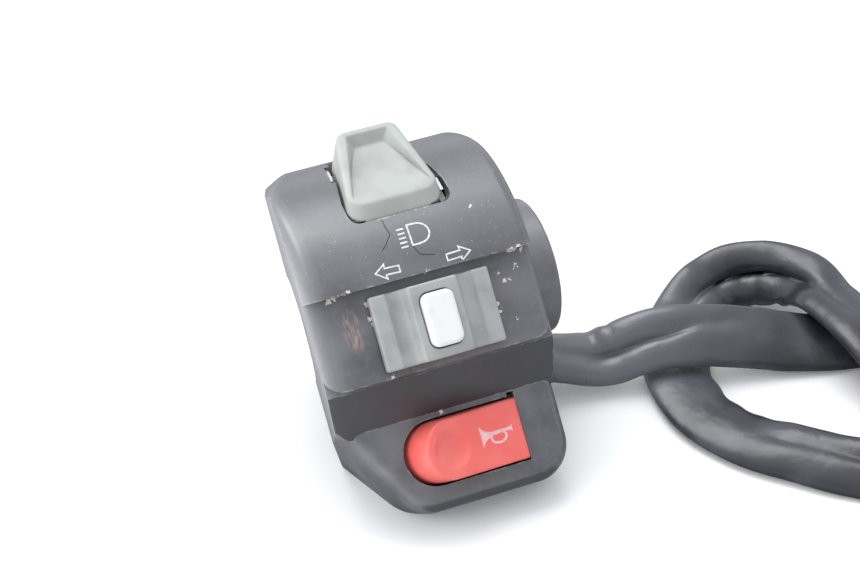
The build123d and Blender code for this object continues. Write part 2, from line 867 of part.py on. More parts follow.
def dip_rocker():
    """The grey rocker with its dished top, hub and the arm that moves the slider."""
    top = dish_plane()
    top_plan = top * rocker_plan(0)
    low_plan = top.offset(-rocker_front_drop) * rocker_plan(-rocker_front_reach)
    half = rocker_front_half + overrun
    deep = extrude(low_plan, amount=-2 * rocker_front_half)
    cap = loft([top_plan, low_plan], ruled=True) + (deep & across(rocker_side(), -half, half))
    rim = []
    for edge in cap.edges():
        heights = [(edge @ share - top.origin).dot(top.z_dir) for share in (0, 0.5, 1)]
        if all(abs(h) < fit_gap for h in heights):
            rim.append(edge)
    cap = fillet(rim, rocker_rim_radius)
    cap -= loft([dish_face(dish_top_points, 0), dish_face(dish_floor_points, dish_depth)], ruled=True)
    inner = rocker_front_half - wall / 2
    hub = rod_x(rocker_hub_radius, (-inner, inner), dip_pivot_y, dip_pivot_z)
    arm_y = (dip_pivot_y - dip_pin_radius, dip_pivot_y + dip_pin_radius)
    arm = block((-dip_arm_half, dip_arm_half), arm_y, (dip_pivot_z - dip_arm_length, dip_pivot_z))
    tip = rod_x(dip_pin_radius, (-dip_arm_half, dip_arm_half), dip_pivot_y, dip_pivot_z - dip_arm_length)
    bore = rod_x(dip_pin_radius + running_gap, (-half, half), dip_pivot_y, dip_pivot_z)
    return cap + rocker_skirt() + hub + arm + tip - bore


def dip_pivot_pin():
    end = rocker_front_half + free_gap + cradle_cheek
    return rod_x(dip_pin_radius, (-end, end), dip_pivot_y, dip_pivot_z)


def crown_drum(radius, half):
    return rod_x(radius, (-half, half), crown_centre_y, crown_centre_z)


def dip_cradle():
    """White frame that carries the rocker's pin and holds the contact board."""
    near = rocker_front_half + free_gap
    far = near + cradle_cheek
    floor_z = (cradle_floor_z, cradle_floor_z + cradle_floor)
    frame = block((-far, far), (cradle_low_y, cradle_high_y), floor_z)
    top_z = crown_radius
    for side in (-1, 1):
        x = (min(side * near, side * far), max(side * near, side * far))
        cheek = block(x, (cradle_low_y, cradle_high_y - cradle_cheek), (cradle_floor_z, top_z))
        frame += cheek & crown_drum(cradle_cheek_radius, far + overrun)
    right_tab = block((near, near + cradle_tab), cradle_right_tab_y, (dip_pivot_z, top_z))
    left_tab = left_tab_shape(0, dip_slot_floor_z() + free_gap, top_z)
    frame += (right_tab + left_tab) & crown_drum(cradle_tab_radius, far + overrun)
    root = left_tab_shape(0, cradle_floor_z, cradle_tab_root_z)
    root_y = (cradle_high_y - cradle_cheek, cradle_high_y)
    frame += root & block((-far, 0), root_y, (cradle_floor_z, cradle_tab_root_z))
    for x, y in cradle_ear_places:
        ear = rod_z(cradle_ear_radius, x, y, floor_z)
        reach = (min(x, 0), max(x, 0))
        web = block(reach, (y - cradle_ear_radius / 2, y + cradle_ear_radius / 2), floor_z)
        frame += ear + web
    for x, y in cradle_ear_places:
        frame -= rod_z(plate_screw_radius + fit_gap, x, y, floor_z)
    frame -= rod_x(dip_pin_radius + fit_gap, (-far - overrun, far + overrun), dip_pivot_y, dip_pivot_z)
    for x, y in dip_rivet_places():
        frame -= rod_z(rivet_radius + fit_gap, x, y, floor_z)
    return frame


def dip_board_levels():
    low = cradle_floor_z + cradle_floor
    return (low, low + dip_board)


def dip_rivet_places():
    pitch = dip_slider_length / 2
    places = []
    for side in (-1, 1):
        for row in (-1, 1):
            places.append((side * dip_bridge_x, dip_pivot_y + row * pitch / 2))
    return places


def dip_contact_board():
    y = (cradle_low_y + free_gap, cradle_high_y - cradle_cheek)
    board = block((-dip_board_half, dip_board_half), y, dip_board_levels())
    for x, y in dip_rivet_places():
        board -= rod_z(rivet_radius + fit_gap, x, y, dip_board_levels())
    return board


def dip_contact_rivets():
    top = dip_board_levels()[1]
    return [rod_z(rivet_radius, x, y, (cradle_floor_z, top)) for x, y in dip_rivet_places()]


def dip_slider():
    y = (dip_pivot_y - dip_slider_length / 2, dip_pivot_y + dip_slider_length / 2)
    slider = block((-dip_slider_half, dip_slider_half), y, (dip_slider_low_z, dip_slider_high_z))
    slider = fillet(slider.edges().filter_by(Axis.Z), dip_slider_corner)
    slot_y = dip_pin_radius + free_gap
    slot_x = dip_arm_half + free_gap
    slot = block(
        (-slot_x, slot_x),
        (dip_pivot_y - slot_y, dip_pivot_y + slot_y),
        (dip_slider_low_z, dip_slider_high_z),
    )
    return slider - slot


def dip_bridges():
    bridges = []
    half = dip_slider_length / 2 - free_gap
    for side in (-1, 1):
        x = (side * dip_bridge_x - dip_bridge_width / 2, side * dip_bridge_x + dip_bridge_width / 2)
        z = (dip_slider_low_z - dip_bridge, dip_slider_low_z)
        bridges.append(block(x, (dip_pivot_y - half, dip_pivot_y + half), z))
    return bridges


# Turn switch


def knob_section():
    """The knob seen along Y: flat wings, a finger valley each side, raised middle."""
    inner = knob_block_half
    valley_out = inner + knob_valley_half + cancel_edge_radius
    valley_mid = (inner + valley_out) / 2 + fit_gap
    foot_z = knob_wing_z + (knob_block_z - knob_wing_z) / 3
    low_z = panel_z + free_gap
    with BuildLine() as edge:
        for side in (1, -1):
            Line((0, knob_block_z), (side * (inner - fit_gap), knob_block_z))
            Line((side * (inner - fit_gap), knob_block_z), (side * (inner + free_gap), foot_z))
            ThreePointArc(
                (side * (inner + free_gap), foot_z),
                (side * valley_mid, knob_valley_z),
                (side * valley_out, knob_wing_z),
            )
            Line((side * valley_out, knob_wing_z), (side * knob_half_width, knob_wing_z))
            Line((side * knob_half_width, knob_wing_z), (side * knob_half_width, low_z))
        Line((-knob_half_width, low_z), (knob_half_width, low_z))
    return make_face(edge.line)


def along_face(face, low_y, high_y):
    """Extrudes an outline given as (x, z) up the face."""
    return extrude(Plane.XZ.offset(-low_y) * face, amount=low_y - high_y)


def rounded_block(half_x, half_y, corner, x, y, z):
    plan = Pos(x, y) * RectangleRounded(2 * half_x, 2 * half_y, corner)
    return outward(plan, z[0], z[1])


def indicator_knob():
    low_y = knob_y - knob_half_height
    knob = Pos(knob_x, 0, 0) * along_face(knob_section(), low_y, low_y + 2 * knob_half_height)
    low_z = panel_z + free_gap
    outer = [e for e in knob.edges() if (e @ 0.5).Z > low_z + fit_gap]
    knob = fillet(outer, knob_edge_radius)
    stem_x = (knob_x - knob_stem_half_x, knob_x + knob_stem_half_x)
    stem_y = (knob_y - knob_stem_half_y, knob_y + knob_stem_half_y)
    knob += block(stem_x, stem_y, (carrier_high_z, low_z + fit_gap))
    gap = cancel_gap
    well_z = (knob_well_floor_z, knob_block_z + overrun)
    well_half = (cancel_half_x + gap, cancel_half_y + gap)
    knob -= rounded_block(*well_half, cancel_corner + gap, knob_x, knob_y, well_z)
    spring_room = cancel_spring_radius + cancel_spring_wire + free_gap
    return knob - rod_z(spring_room, knob_x, knob_y, (carrier_high_z, knob_well_floor_z))


def cancel_button():
    """The white cap with the stem that runs down through its spring."""
    cap_z = (cancel_low_z, cancel_top_z)
    cap = rounded_block(cancel_half_x, cancel_half_y, cancel_corner, knob_x, knob_y, cap_z)
    rim = [e for e in cap.edges() if abs((e @ 0.5).Z - cancel_top_z) < fit_gap]
    cap = fillet(rim, cancel_edge_radius)
    return cap + rod_z(cancel_stem_radius, knob_x, knob_y, (cancel_stem_low_z, cancel_low_z))


def coil_spring(radius, wire, turns, x, y, z):
    """An open coil between two seats, clear of both by half a free gap."""
    low = z[0] + wire + free_gap / 2
    height = z[1] - z[0] - 2 * wire - free_gap
    path = Helix(pitch=height / turns, height=height, radius=radius)
    start = Plane(origin=path @ 0, z_dir=path % 0)
    coil = sweep(start * Circle(wire), path=path, is_frenet=True)
    return Pos(x, y, low) * coil


def cancel_spring():
    seats = (carrier_high_z, cancel_low_z)
    return coil_spring(
        cancel_spring_radius, cancel_spring_wire, cancel_spring_turns, knob_x, knob_y, seats
    )


def detent_place():
    return (knob_x, knob_y + detent_offset_y)


def turn_contact_places():
    y = knob_y + turn_contact_offset_y
    return [(knob_x + step * turn_contact_pitch, y) for step in (-1, 0, 1)]


def indicator_carrier():
    """Slide under the panel, pressed on the knob's stem, with pockets for its contacts."""
    plan = rounded_block(
        carrier_half_x, carrier_half_y, cancel_corner, knob_x, knob_y, (carrier_low_z, carrier_high_z)
    )
    stem = rod_z(cancel_stem_radius + running_gap, knob_x, knob_y, (carrier_low_z, carrier_high_z))
    x, y = detent_place()
    pocket = rod_z(detent_ball_radius + running_gap, x, y, (carrier_low_z, carrier_high_z - free_gap))
    return plan - stem - pocket


def detent_ball():
    x, y = detent_place()
    return Pos(x, y, carrier_low_z + detent_ball_radius - free_gap / 2) * Sphere(detent_ball_radius)


def detent_spring():
    x, y = detent_place()
    low = carrier_low_z + 2 * detent_ball_radius - free_gap / 2
    low -= detent_ball_radius / 3
    seats = (low, carrier_high_z - free_gap)
    return coil_spring(
        detent_spring_radius, detent_spring_wire, detent_spring_turns, x, y, seats
    )


def indicator_bridge():
    """Copper strip under the carrier that joins two of the fixed contacts."""
    half = turn_contact_pitch / 2 + rivet_radius
    y = knob_y + turn_contact_offset_y
    z = (carrier_low_z - rivet_head, carrier_low_z)
    return block((knob_x - half, knob_x + half), (y - rivet_radius, y + rivet_radius), z)


def indicator_base():
    x = (knob_x - turn_base_half_x, knob_x + turn_base_half_x)
    y = (knob_y - turn_base_half_y, knob_y + turn_base_half_y)
    base = block(x, y, (turn_base_low_z, turn_base_high_z))
    for side in (-1, 1):
        near = knob_y + side * (carrier_half_y + free_gap)
        far = near + side * turn_rail
        rail_x = (knob_x + turn_boss_offsets[0] + turn_boss_radius + free_gap,
                  knob_x + turn_boss_offsets[1] - turn_boss_radius - free_gap)
        rail_z = (turn_base_high_z, carrier_high_z - free_gap)
        base += block(rail_x, (min(near, far), max(near, far)), rail_z)
    x, y = detent_place()
    for step in (-1, 0, 1):
        centre_z = turn_base_high_z + detent_ball_radius * detent_rise_share
        base -= Pos(x + step * knob_travel, y, centre_z) * Sphere(detent_ball_radius)
    for dx in turn_boss_offsets:
        base -= rod_z(plate_screw_radius + fit_gap, knob_x + dx, knob_y, (turn_base_low_z, turn_base_high_z))
    for x, y in turn_contact_places():
        base -= rod_z(rivet_radius + fit_gap, x, y, (turn_base_low_z, turn_base_high_z))
    return base


def indicator_contacts():
    return [rod_z(rivet_radius, x, y, (turn_base_low_z, turn_base_high_z)) for x, y in turn_contact_places()]


# Horn


def horn_top_plane():
    """Plane of the button's sloping top, with its origin over the dimple."""
    rise = horn_crest_z - horn_right_top_z
    run = horn_right_x - horn_top_left_x
    share = (horn_right_x - dimple_x) / run
    normal = (rise, 0, run)
    origin = (dimple_x, horn_mid_y, horn_right_top_z + rise * share)
    return Plane(origin=origin, x_dir=(run, 0, -rise), z_dir=normal)


def horn_flange_top_z():
    """The level under the horn panel that the button's flange comes up to."""
    return horn_face_z - wall - free_gap


def horn_button():
    """The red button: tall and round at its left end, flush where it hinges."""
    root = Pos(0, 0, horn_root_z) * horn_outline(horn_root_left_x, horn_root_half_y, 0)
    over = horn_crest_z + free_gap
    top = Pos(0, 0, over) * horn_outline(horn_top_left_x, horn_top_half_y, 0)
    button = loft([root, top], ruled=True)
    plane = horn_top_plane()
    lid = plane * Pos(0, 0, overrun) * Box(6 * overrun, 3 * overrun, 2 * overrun)
    button -= lid
    rim = []
    for edge in button.edges():
        heights = [(edge @ share - plane.origin).dot(plane.z_dir) for share in (0, 0.5, 1)]
        if all(abs(h) < fit_gap for h in heights) and (edge @ 0.5).X < horn_right_x - fit_gap:
            rim.append(edge)
    button = fillet(rim, horn_edge_round)
    ball_radius = (dimple_radius**2 + dimple_depth**2) / (2 * dimple_depth)
    button -= plane * Pos(0, 0, ball_radius - dimple_depth) * Sphere(ball_radius)
    under = horn_flange_top_z()
    flange = block(
        (horn_flange_left_x, horn_spring_x + horn_spring_radius + 2 * horn_spring_wire),
        (horn_mid_y - horn_flange_half_y, horn_mid_y + horn_flange_half_y),
        (under - horn_flange, under),
    )
    lug_x = (horn_pivot_x - 2 * horn_lug_radius, horn_pivot_x)
    lug_y = (horn_mid_y - horn_lug_half_y, horn_mid_y + horn_lug_half_y)
    lug = block(lug_x, lug_y, (horn_pivot_z - horn_lug_radius, under))
    barrel = rod_y(horn_lug_radius, horn_pivot_x, lug_y, horn_pivot_z) & block(
        (horn_pivot_x - overrun, horn_pivot_x + overrun), lug_y, (0, under)
    )
    stem = rod_z(horn_stem_radius, horn_stem_x, horn_mid_y, (horn_stem_low_z, horn_root_z + fit_gap))
    bore_y = (lug_y[0] - overrun, lug_y[1] + overrun)
    bore = rod_y(horn_pin_radius + running_gap, horn_pivot_x, bore_y, horn_pivot_z)
    return button + flange + lug + barrel + stem - bore


def horn_pivot_pin():
    y = (horn_mid_y - horn_pin_half, horn_mid_y + horn_pin_half)
    return rod_y(horn_pin_radius, horn_pivot_x, y, horn_pivot_z)


def horn_rivet_places():
    return [(horn_blade_root_x, horn_mid_y), (horn_stem_x - rivet_radius, horn_mid_y)]


def horn_base_plate():
    """Plate under the horn button, with its spring seat and two rivet holes."""
    z = (horn_base_z, horn_base_z + horn_base)
    plate_y = (horn_base_low_y, horn_mid_y + horn_root_half_y)
    base = block((horn_base_left_x, horn_base_right_x), plate_y, z)
    for x, y in horn_boss_places:
        ear_x = (x - horn_boss_radius, x + horn_boss_radius)
        base += block(ear_x, (min(y, horn_mid_y), y + horn_boss_radius), z)
    for x, y in horn_boss_places:
        base -= rod_z(plate_screw_radius + fit_gap, x, y, z)
    for x, y in horn_rivet_places():
        base -= rod_z(horn_rivet_radius + fit_gap, x, y, z)
    return base


def horn_fixed_contact():
    x, y = horn_rivet_places()[1]
    top = horn_base_z + horn_base
    shank = rod_z(horn_rivet_radius, x, y, (horn_base_z, top))
    return shank + rod_z(horn_rivet_radius, x, y, (top, top + rivet_head))


def horn_contact_blade():
    """Springy copper strip on its own rivet, under the button's stem."""
    x, y = horn_rivet_places()[0]
    strip = block(
        (horn_blade_tip_x, horn_blade_root_x + horn_blade_width / 2),
        (y - horn_blade_width / 2, y + horn_blade_width / 2),
        (horn_blade_z, horn_blade_z + horn_blade),
    )
    return strip + rod_z(horn_rivet_radius, x, y, (horn_base_z, horn_blade_z + horn_blade + rivet_head))


def horn_spring():
    seats = (horn_base_z + horn_base, horn_flange_top_z() - horn_flange)
    return coil_spring(
        horn_spring_radius, horn_spring_wire, horn_spring_turns, horn_spring_x, horn_mid_y, seats
    )


# Loom


def cable_grommet():
    """Rubber grommet in the front shell's inboard end, with a flange on each side."""
    wall_x = (case_half_width - end_wall, case_half_width)
    neck = rod_x(grommet_neck_radius, wall_x, loom_y, loom_z)
    inner = rod_x(grommet_lip_radius, (wall_x[0] - grommet_lip, wall_x[0]), loom_y, loom_z)
    outer = rod_x(grommet_flange_radius, (wall_x[1], wall_x[1] + grommet_flange), loom_y, loom_z)
    nose_x = (wall_x[1], wall_x[1] + grommet_nose)
    nose = rod_x(grommet_neck_radius, nose_x, loom_y, loom_z)
    bore_x = (wall_x[0] - grommet_lip, nose_x[1])
    return neck + inner + outer + nose - rod_x(grommet_bore_radius, bore_x, loom_y, loom_z)


def loom_exit():
    return (case_half_width + grommet_nose, loom_y, loom_z)


def tube(points, radii, radius):
    """A round tube along straight runs joined by tangent arcs."""
    path = FilletPolyline(*points, radius=radii)
    return sweep(Plane(origin=path @ 0, z_dir=path % 0) * Circle(radius), path=path)


def gathered(angle):
    """Where a wire lies in the ring of wires, as (y, z), once they come together."""
    turn = radians(angle)
    return (loom_y + wire_ring_radius * cos(turn), loom_z + wire_ring_radius * sin(turn))


def inner_wires():
    """The wires from the three switches' contacts to the mouth of the grommet."""
    routes = []
    x = [place for place, _ in dip_rivet_places()[0:4:2]]
    y = dip_rivet_places()[0][1]
    for start_x, lane, angle in zip(x, dip_wire_lanes, dip_wire_angles):
        start = [(start_x, y, cradle_floor_z), (start_x, y, dip_wire_z)]
        routes.append((start + [(lane[0], lane[1], dip_wire_z)], angle))
    for place, lane, angle in zip(turn_contact_places(), turn_wire_lanes, turn_wire_angles):
        route = [(*place, turn_base_low_z), (*place, turn_wire_root_z)]
        route.append((lane, *turn_wire_mid))
        route.append((lane + turn_wire_drift, *turn_wire_low))
        routes.append((route, angle))
    (first_x, first_z), (second_x, second_z) = horn_wire_points
    route = [(first_x, horn_mid_y, horn_base_z), (first_x, horn_mid_y, first_z)]
    routes.append((route + [(second_x, horn_wire_mid_y, second_z)], horn_wire_angle))
    wires = []
    for route, angle in routes:
        place = gathered(angle)
        points = route + [(wire_gather_x, *place), (loom_exit()[0], *place)]
        radii = [wire_bend_radius] * (len(points) - 2)
        wires.append(tube(points, radii, wire_radius))
    return wires


def sleeve_route():
    """The sleeve's points from the grommet to its taped end, as it lies on the table."""
    tilt = radians(lie_back_angle)
    x, y, z = loom_exit()
    start = Vector(x, y * cos(tilt) - z * sin(tilt), y * sin(tilt) + z * cos(tilt))
    rest_z = sleeve_radius - table_drop
    lead_out = start + Vector(sleeve_lead_out, 0, 0)
    return [start, lead_out] + [Vector(x, y, rest_z + lift) for x, y, lift in sleeve_points]


def route_radii(points):
    """The largest arc that each corner's two runs allow."""
    radii = []
    for before, corner, after in zip(points, points[1:], points[2:]):
        turn = radians((corner - before).get_angle(after - corner))
        shorter = min((corner - before).length, (after - corner).length)
        radii.append(corner_share * shorter / tan(turn / 2))
    return radii


def loom_sleeve():
    points = sleeve_route()
    radii = route_radii(points)
    path = FilletPolyline(*points, radius=radii)
    sleeve = tube(points, radii, sleeve_radius)
    print("sleeve radii", [round(radius, 1) for radius in radii])
    print("sleeve length", path.length, "volume", sleeve.volume, path.length * pi * sleeve_radius**2)
    return sleeve


def at_sleeve_end(piece):
    """Puts a piece drawn along +X from the origin on the end of the sleeve."""
    before, end = sleeve_route()[-2:]
    heading = degrees(atan2(end.Y - before.Y, end.X - before.X))
    return Pos(end.X, end.Y, end.Z) * Rot(0, 0, heading) * piece


def sleeve_end_tape():
    """The taper of tape that closes the sleeve on its wires."""
    taper = Rot(0, 90, 0) * Cone(sleeve_radius, tape_tip_radius, tape_length)
    return at_sleeve_end(Pos(tape_length / 2, 0, 0) * taper)


def connector_ways():
    """Row and column of each of the connector's six ways, about its middle."""
    return [(column, row / 2) for column in (-1, 0, 1) for row in (-1, 1)]


def housing_middle_z():
    return housing_height / 2 - sleeve_radius


def connector_wires():
    leads = []
    start_x = tape_length
    rear_x = tape_length + lead_length
    for column, row in connector_ways():
        near = (column * wire_tip_pitch, row * wire_tip_pitch)
        far = (column * terminal_pitch, row * terminal_pitch + housing_middle_z())
        points = [
            (start_x, *near),
            (start_x + lead_length / 3, *near),
            (rear_x - lead_length / 4, *far),
            (rear_x + terminal_root, *far),
        ]
        leads.append(at_sleeve_end(tube(points, [lead_bend_radius] * 2, wire_radius)))
    return leads


def connector_housing():
    """Moulded six way housing with a latch on its top."""
    rear_x = tape_length + lead_length
    middle_z = housing_middle_z()
    top_z = middle_z + housing_height / 2
    half = housing_width / 2
    body = block((rear_x, rear_x + housing_length), (-half, half), (top_z - housing_height, top_z))
    body = fillet(body.edges().filter_by(Axis.X), housing_edge)
    latch_x = rear_x + latch_root
    latch_y = (-latch_width / 2, latch_width / 2)
    latch = block((latch_x, latch_x + latch_length), latch_y, (top_z, top_z + latch_height))
    rear_edges = [e for e in latch.edges() if (e @ 0.5).X < latch_x + fit_gap]
    corner = [e for e in rear_edges if (e @ 0.5).Z > top_z + latch_height - fit_gap]
    body += fillet(corner, latch_height / 2)
    for column, row in connector_ways():
        y = column * terminal_pitch
        z = middle_z + row * terminal_pitch
        hole = terminal_hole / 2
        hole_x = (rear_x + terminal_root, rear_x + housing_length + overrun)
        body -= block(hole_x, (y - hole, y + hole), (z - hole, z + hole))
        body -= rod_x(wire_radius + fit_gap, (rear_x - overrun, rear_x + terminal_root), y, z)
    return at_sleeve_end(body)


def connector_terminals():
    """Brass receptacles, crimped on the wires inside the housing."""
    terminals = []
    root_x = tape_length + lead_length + terminal_root
    half = terminal_width / 2
    for column, row in connector_ways():
        y = column * terminal_pitch
        z = housing_middle_z() + row * terminal_pitch
        blade_z = (z - terminal_thick / 2, z + terminal_thick / 2)
        blade = block((root_x, root_x + terminal_length), (y - half, y + half), blade_z)
        crimp = block((root_x, root_x + terminal_crimp), (y - half, y + half), (z - half, z + half))
        terminals.append(at_sleeve_end(blade + crimp))
    return terminals


def lay_back(piece):
    """Turns a piece of the casing about the bar, to where the casing rests on its back."""
    return Rot(lie_back_angle, 0, 0) * piece


def save(name, pieces):
    """Writes one sub-part; pieces is a solid or a list of solids."""
    group = pieces if isinstance(pieces, list) else [pieces]
    solids = [solid for piece in group for solid in piece.solids()]
    shape = solids[0] if len(solids) == 1 else Compound(children=solids)
    export_step(shape, f"parts/{name}.step")


def save_laid(name, pieces):
    """Writes one sub-part of the casing, turned to how it rests."""
    group = pieces if isinstance(pieces, list) else [pieces]
    save(name, [lay_back(piece) for piece in group])


blank = case_blank()
hollow = case_cavity()
cutter = left_draft_cutter(0)
inner_screws = plate_screw_places()
save_laid("rear_shell", rear_shell(blank, hollow, cutter))
save_laid("front_shell", front_shell(blank, hollow, cutter))
save_laid("case_screws", case_screws())
save_laid("dip_rocker", dip_rocker())
save_laid("dip_pivot_pin", dip_pivot_pin())
save_laid("dip_cradle", dip_cradle())
save_laid("dip_cradle_screws", plate_screws(inner_screws[0:2]))
save_laid("dip_contact_board", dip_contact_board())
save_laid("dip_contact_rivets", dip_contact_rivets())
save_laid("dip_slider", dip_slider())
save_laid("dip_bridges", dip_bridges())
save_laid("indicator_knob", indicator_knob())
save_laid("cancel_button", cancel_button())
save_laid("cancel_spring", cancel_spring())
save_laid("indicator_carrier", indicator_carrier())
save_laid("detent_ball", detent_ball())
save_laid("detent_spring", detent_spring())
save_laid("indicator_bridge", indicator_bridge())
save_laid("indicator_base", indicator_base())
save_laid("indicator_contacts", indicator_contacts())
save_laid("indicator_base_screws", plate_screws(inner_screws[2:4]))
save_laid("horn_button", horn_button())
save_laid("horn_pivot_pin", horn_pivot_pin())
save_laid("horn_spring", horn_spring())
save_laid("horn_base", horn_base_plate())
save_laid("horn_fixed_contact", horn_fixed_contact())
save_laid("horn_contact_blade", horn_contact_blade())
save_laid("horn_base_screws", plate_screws(inner_screws[4:6]))
save_laid("cable_grommet", cable_grommet())
save_laid("inner_wires", inner_wires())
save("loom_sleeve", loom_sleeve())
save("sleeve_end_tape", sleeve_end_tape())
save("connector_wires", connector_wires())
save("connector_housing", connector_housing())
save("connector_terminals", connector_terminals())
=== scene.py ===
import math

import bmesh
import bpy
import numpy as np
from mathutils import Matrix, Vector
from mathutils.bvhtree import BVHTree


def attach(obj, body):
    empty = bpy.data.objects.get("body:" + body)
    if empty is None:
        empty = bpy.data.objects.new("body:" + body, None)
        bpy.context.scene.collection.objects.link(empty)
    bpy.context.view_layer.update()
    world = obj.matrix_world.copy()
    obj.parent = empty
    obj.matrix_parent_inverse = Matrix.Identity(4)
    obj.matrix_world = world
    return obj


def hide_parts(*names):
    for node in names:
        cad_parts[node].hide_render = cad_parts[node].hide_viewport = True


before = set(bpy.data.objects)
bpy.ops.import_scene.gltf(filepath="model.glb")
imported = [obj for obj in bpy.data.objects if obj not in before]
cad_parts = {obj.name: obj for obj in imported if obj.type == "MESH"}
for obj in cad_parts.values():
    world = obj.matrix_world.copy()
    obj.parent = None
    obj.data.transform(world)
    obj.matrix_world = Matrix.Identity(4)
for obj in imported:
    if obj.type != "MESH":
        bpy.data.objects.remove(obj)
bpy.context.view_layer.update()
shell_tilt = math.radians(45.7)

# The table and the light. The cluster lies on a plain white table top, photographed in
# soft daylight from above, with the room darker on the side where the camera stands.
table_z = -0.029
table_half = 3.0
table = bpy.data.objects.new("table_top", bpy.data.meshes.new("table_top"))
table.data.from_pydata(
    [(x * table_half, y * table_half, table_z) for x, y in ((-1, -1), (1, -1), (1, 1), (-1, 1))],
    [],
    [(0, 1, 2, 3)],
)
bpy.context.scene.collection.objects.link(table)

table_finish = bpy.data.materials.new("white_table")
table_finish.use_nodes = True
tree = table_finish.node_tree
shader = tree.nodes["Principled BSDF"]
shader.inputs["Roughness"].default_value = 0.6
shader.inputs["Specular IOR Level"].default_value = 0.2
glow = tree.nodes.new("ShaderNodeEmission")
glow.inputs["Color"].default_value = (1.0, 1.0, 1.0, 1.0)
glow.inputs["Strength"].default_value = 0.06
rays = tree.nodes.new("ShaderNodeLightPath")
seen = tree.nodes.new("ShaderNodeMixShader")
lift = tree.nodes.new("ShaderNodeAddShader")
tree.links.new(shader.outputs["BSDF"], lift.inputs[0])
tree.links.new(glow.outputs["Emission"], lift.inputs[1])
worn_white = tree.nodes.new("ShaderNodeTexNoise")
worn_white.inputs["Scale"].default_value = 9.0
place = tree.nodes.new("ShaderNodeTexCoord")
tone = tree.nodes.new("ShaderNodeMapRange")
tone.inputs["To Min"].default_value = 0.925
tone.inputs["To Max"].default_value = 0.935
tree.links.new(place.outputs["Object"], worn_white.inputs["Vector"])
tree.links.new(worn_white.outputs["Fac"], tone.inputs["Value"])
tree.links.new(tone.outputs["Result"], shader.inputs["Base Color"])
# Painted shade in reflections: seen by glossy rays, the table turns dark grey from x = -0.05 m to -0.02 m
# and stays so to the right. This darkens what the casing and the sleeve reflect.
reflected_table_shade = tree.nodes.new("ShaderNodeBsdfDiffuse")
reflected_table_shade.inputs["Color"].default_value = (0.30, 0.30, 0.32, 1.0)
in_gloss = tree.nodes.new("ShaderNodeMixShader")
across = tree.nodes.new("ShaderNodeSeparateXYZ")
right_side = tree.nodes.new("ShaderNodeMapRange")
right_side.inputs["From Min"].default_value = -0.05
right_side.inputs["From Max"].default_value = -0.02
gloss_share = tree.nodes.new("ShaderNodeMath")
gloss_share.operation = "MULTIPLY"
tree.links.new(place.outputs["Object"], across.inputs["Vector"])
tree.links.new(across.outputs["X"], right_side.inputs["Value"])
tree.links.new(right_side.outputs["Result"], gloss_share.inputs[0])
tree.links.new(rays.outputs["Is Glossy Ray"], gloss_share.inputs[1])
tree.links.new(gloss_share.outputs["Value"], in_gloss.inputs[0])
tree.links.new(shader.outputs["BSDF"], in_gloss.inputs[1])
tree.links.new(reflected_table_shade.outputs["BSDF"], in_gloss.inputs[2])
tree.links.new(rays.outputs["Is Camera Ray"], seen.inputs[0])
tree.links.new(in_gloss.outputs["Shader"], seen.inputs[1])
tree.links.new(lift.outputs["Shader"], seen.inputs[2])
tree.links.new(seen.outputs["Shader"], tree.nodes["Material Output"].inputs["Surface"])
table.data.materials.append(table_finish)

world = bpy.data.worlds.new("daylight")
bpy.context.scene.world = world
world.use_nodes = True
tree = world.node_tree
room = tree.nodes["Background"]
room.inputs["Color"].default_value = (0.93, 0.965, 1.0, 1.0)
direction = tree.nodes.new("ShaderNodeTexCoord")
parts = tree.nodes.new("ShaderNodeSeparateXYZ")
tree.links.new(direction.outputs["Generated"], parts.inputs["Vector"])
height = tree.nodes.new("ShaderNodeMapRange")
height.inputs["From Min"].default_value = -1.0
height.inputs["From Max"].default_value = 1.0
tree.links.new(parts.outputs["Z"], height.inputs["Value"])
levels = tree.nodes.new("ShaderNodeValToRGB")
levels.color_ramp.interpolation = "EASE"
room_levels = [(0.0, 0.8), (0.52, 1.30), (0.66, 0.72), (0.86, 0.90), (0.95, 1.15)]
for place, level in room_levels[2:]:
    levels.color_ramp.elements.new(place)
for stop, (place, level) in zip(levels.color_ramp.elements, room_levels):
    stop.position = place
    stop.color = (level, level, level, 1.0)
tree.links.new(height.outputs["Result"], levels.inputs["Fac"])
near_side = tree.nodes.new("ShaderNodeMapRange")
near_side.inputs["From Min"].default_value = -0.8
near_side.inputs["From Max"].default_value = -0.1
near_side.inputs["To Min"].default_value = 0.72
near_side.inputs["To Max"].default_value = 1.0
tree.links.new(parts.outputs["Y"], near_side.inputs["Value"])
dimmed = tree.nodes.new("ShaderNodeMath")
dimmed.operation = "MULTIPLY"
tree.links.new(levels.outputs["Color"], dimmed.inputs[0])
tree.links.new(near_side.outputs["Result"], dimmed.inputs[1])
tree.links.new(dimmed.outputs["Value"], room.inputs["Strength"])
white = tree.nodes.new("ShaderNodeBackground")
white.inputs["Color"].default_value = (1.0, 1.0, 1.0, 1.0)
rays = tree.nodes.new("ShaderNodeLightPath")
seen = tree.nodes.new("ShaderNodeMixShader")
tree.links.new(rays.outputs["Is Camera Ray"], seen.inputs[0])
tree.links.new(room.outputs["Background"], seen.inputs[1])
tree.links.new(white.outputs["Background"], seen.inputs[2])
tree.links.new(seen.outputs["Shader"], tree.nodes["World Output"].inputs["Surface"])

for name, place, aim, size, power in (
    ("window_light", (-0.04, 0.34, 0.84), (0.02, -0.02, 0.0), 0.6, 4.4),
    ("fill_light", (-0.7, 0.05, 0.25), (0.0, 0.0, 0.0), 0.6, 3.4),
):
    lamp = bpy.data.lights.new(name, "AREA")
    lamp.size = size
    lamp.energy = power
    holder = bpy.data.objects.new(name, lamp)
    holder.location = place
    holder.rotation_euler = (Vector(aim) - Vector(place)).to_track_quat("-Z", "Y").to_euler()
    holder.visible_glossy = name == "window_light"
    bpy.context.scene.collection.objects.link(holder)

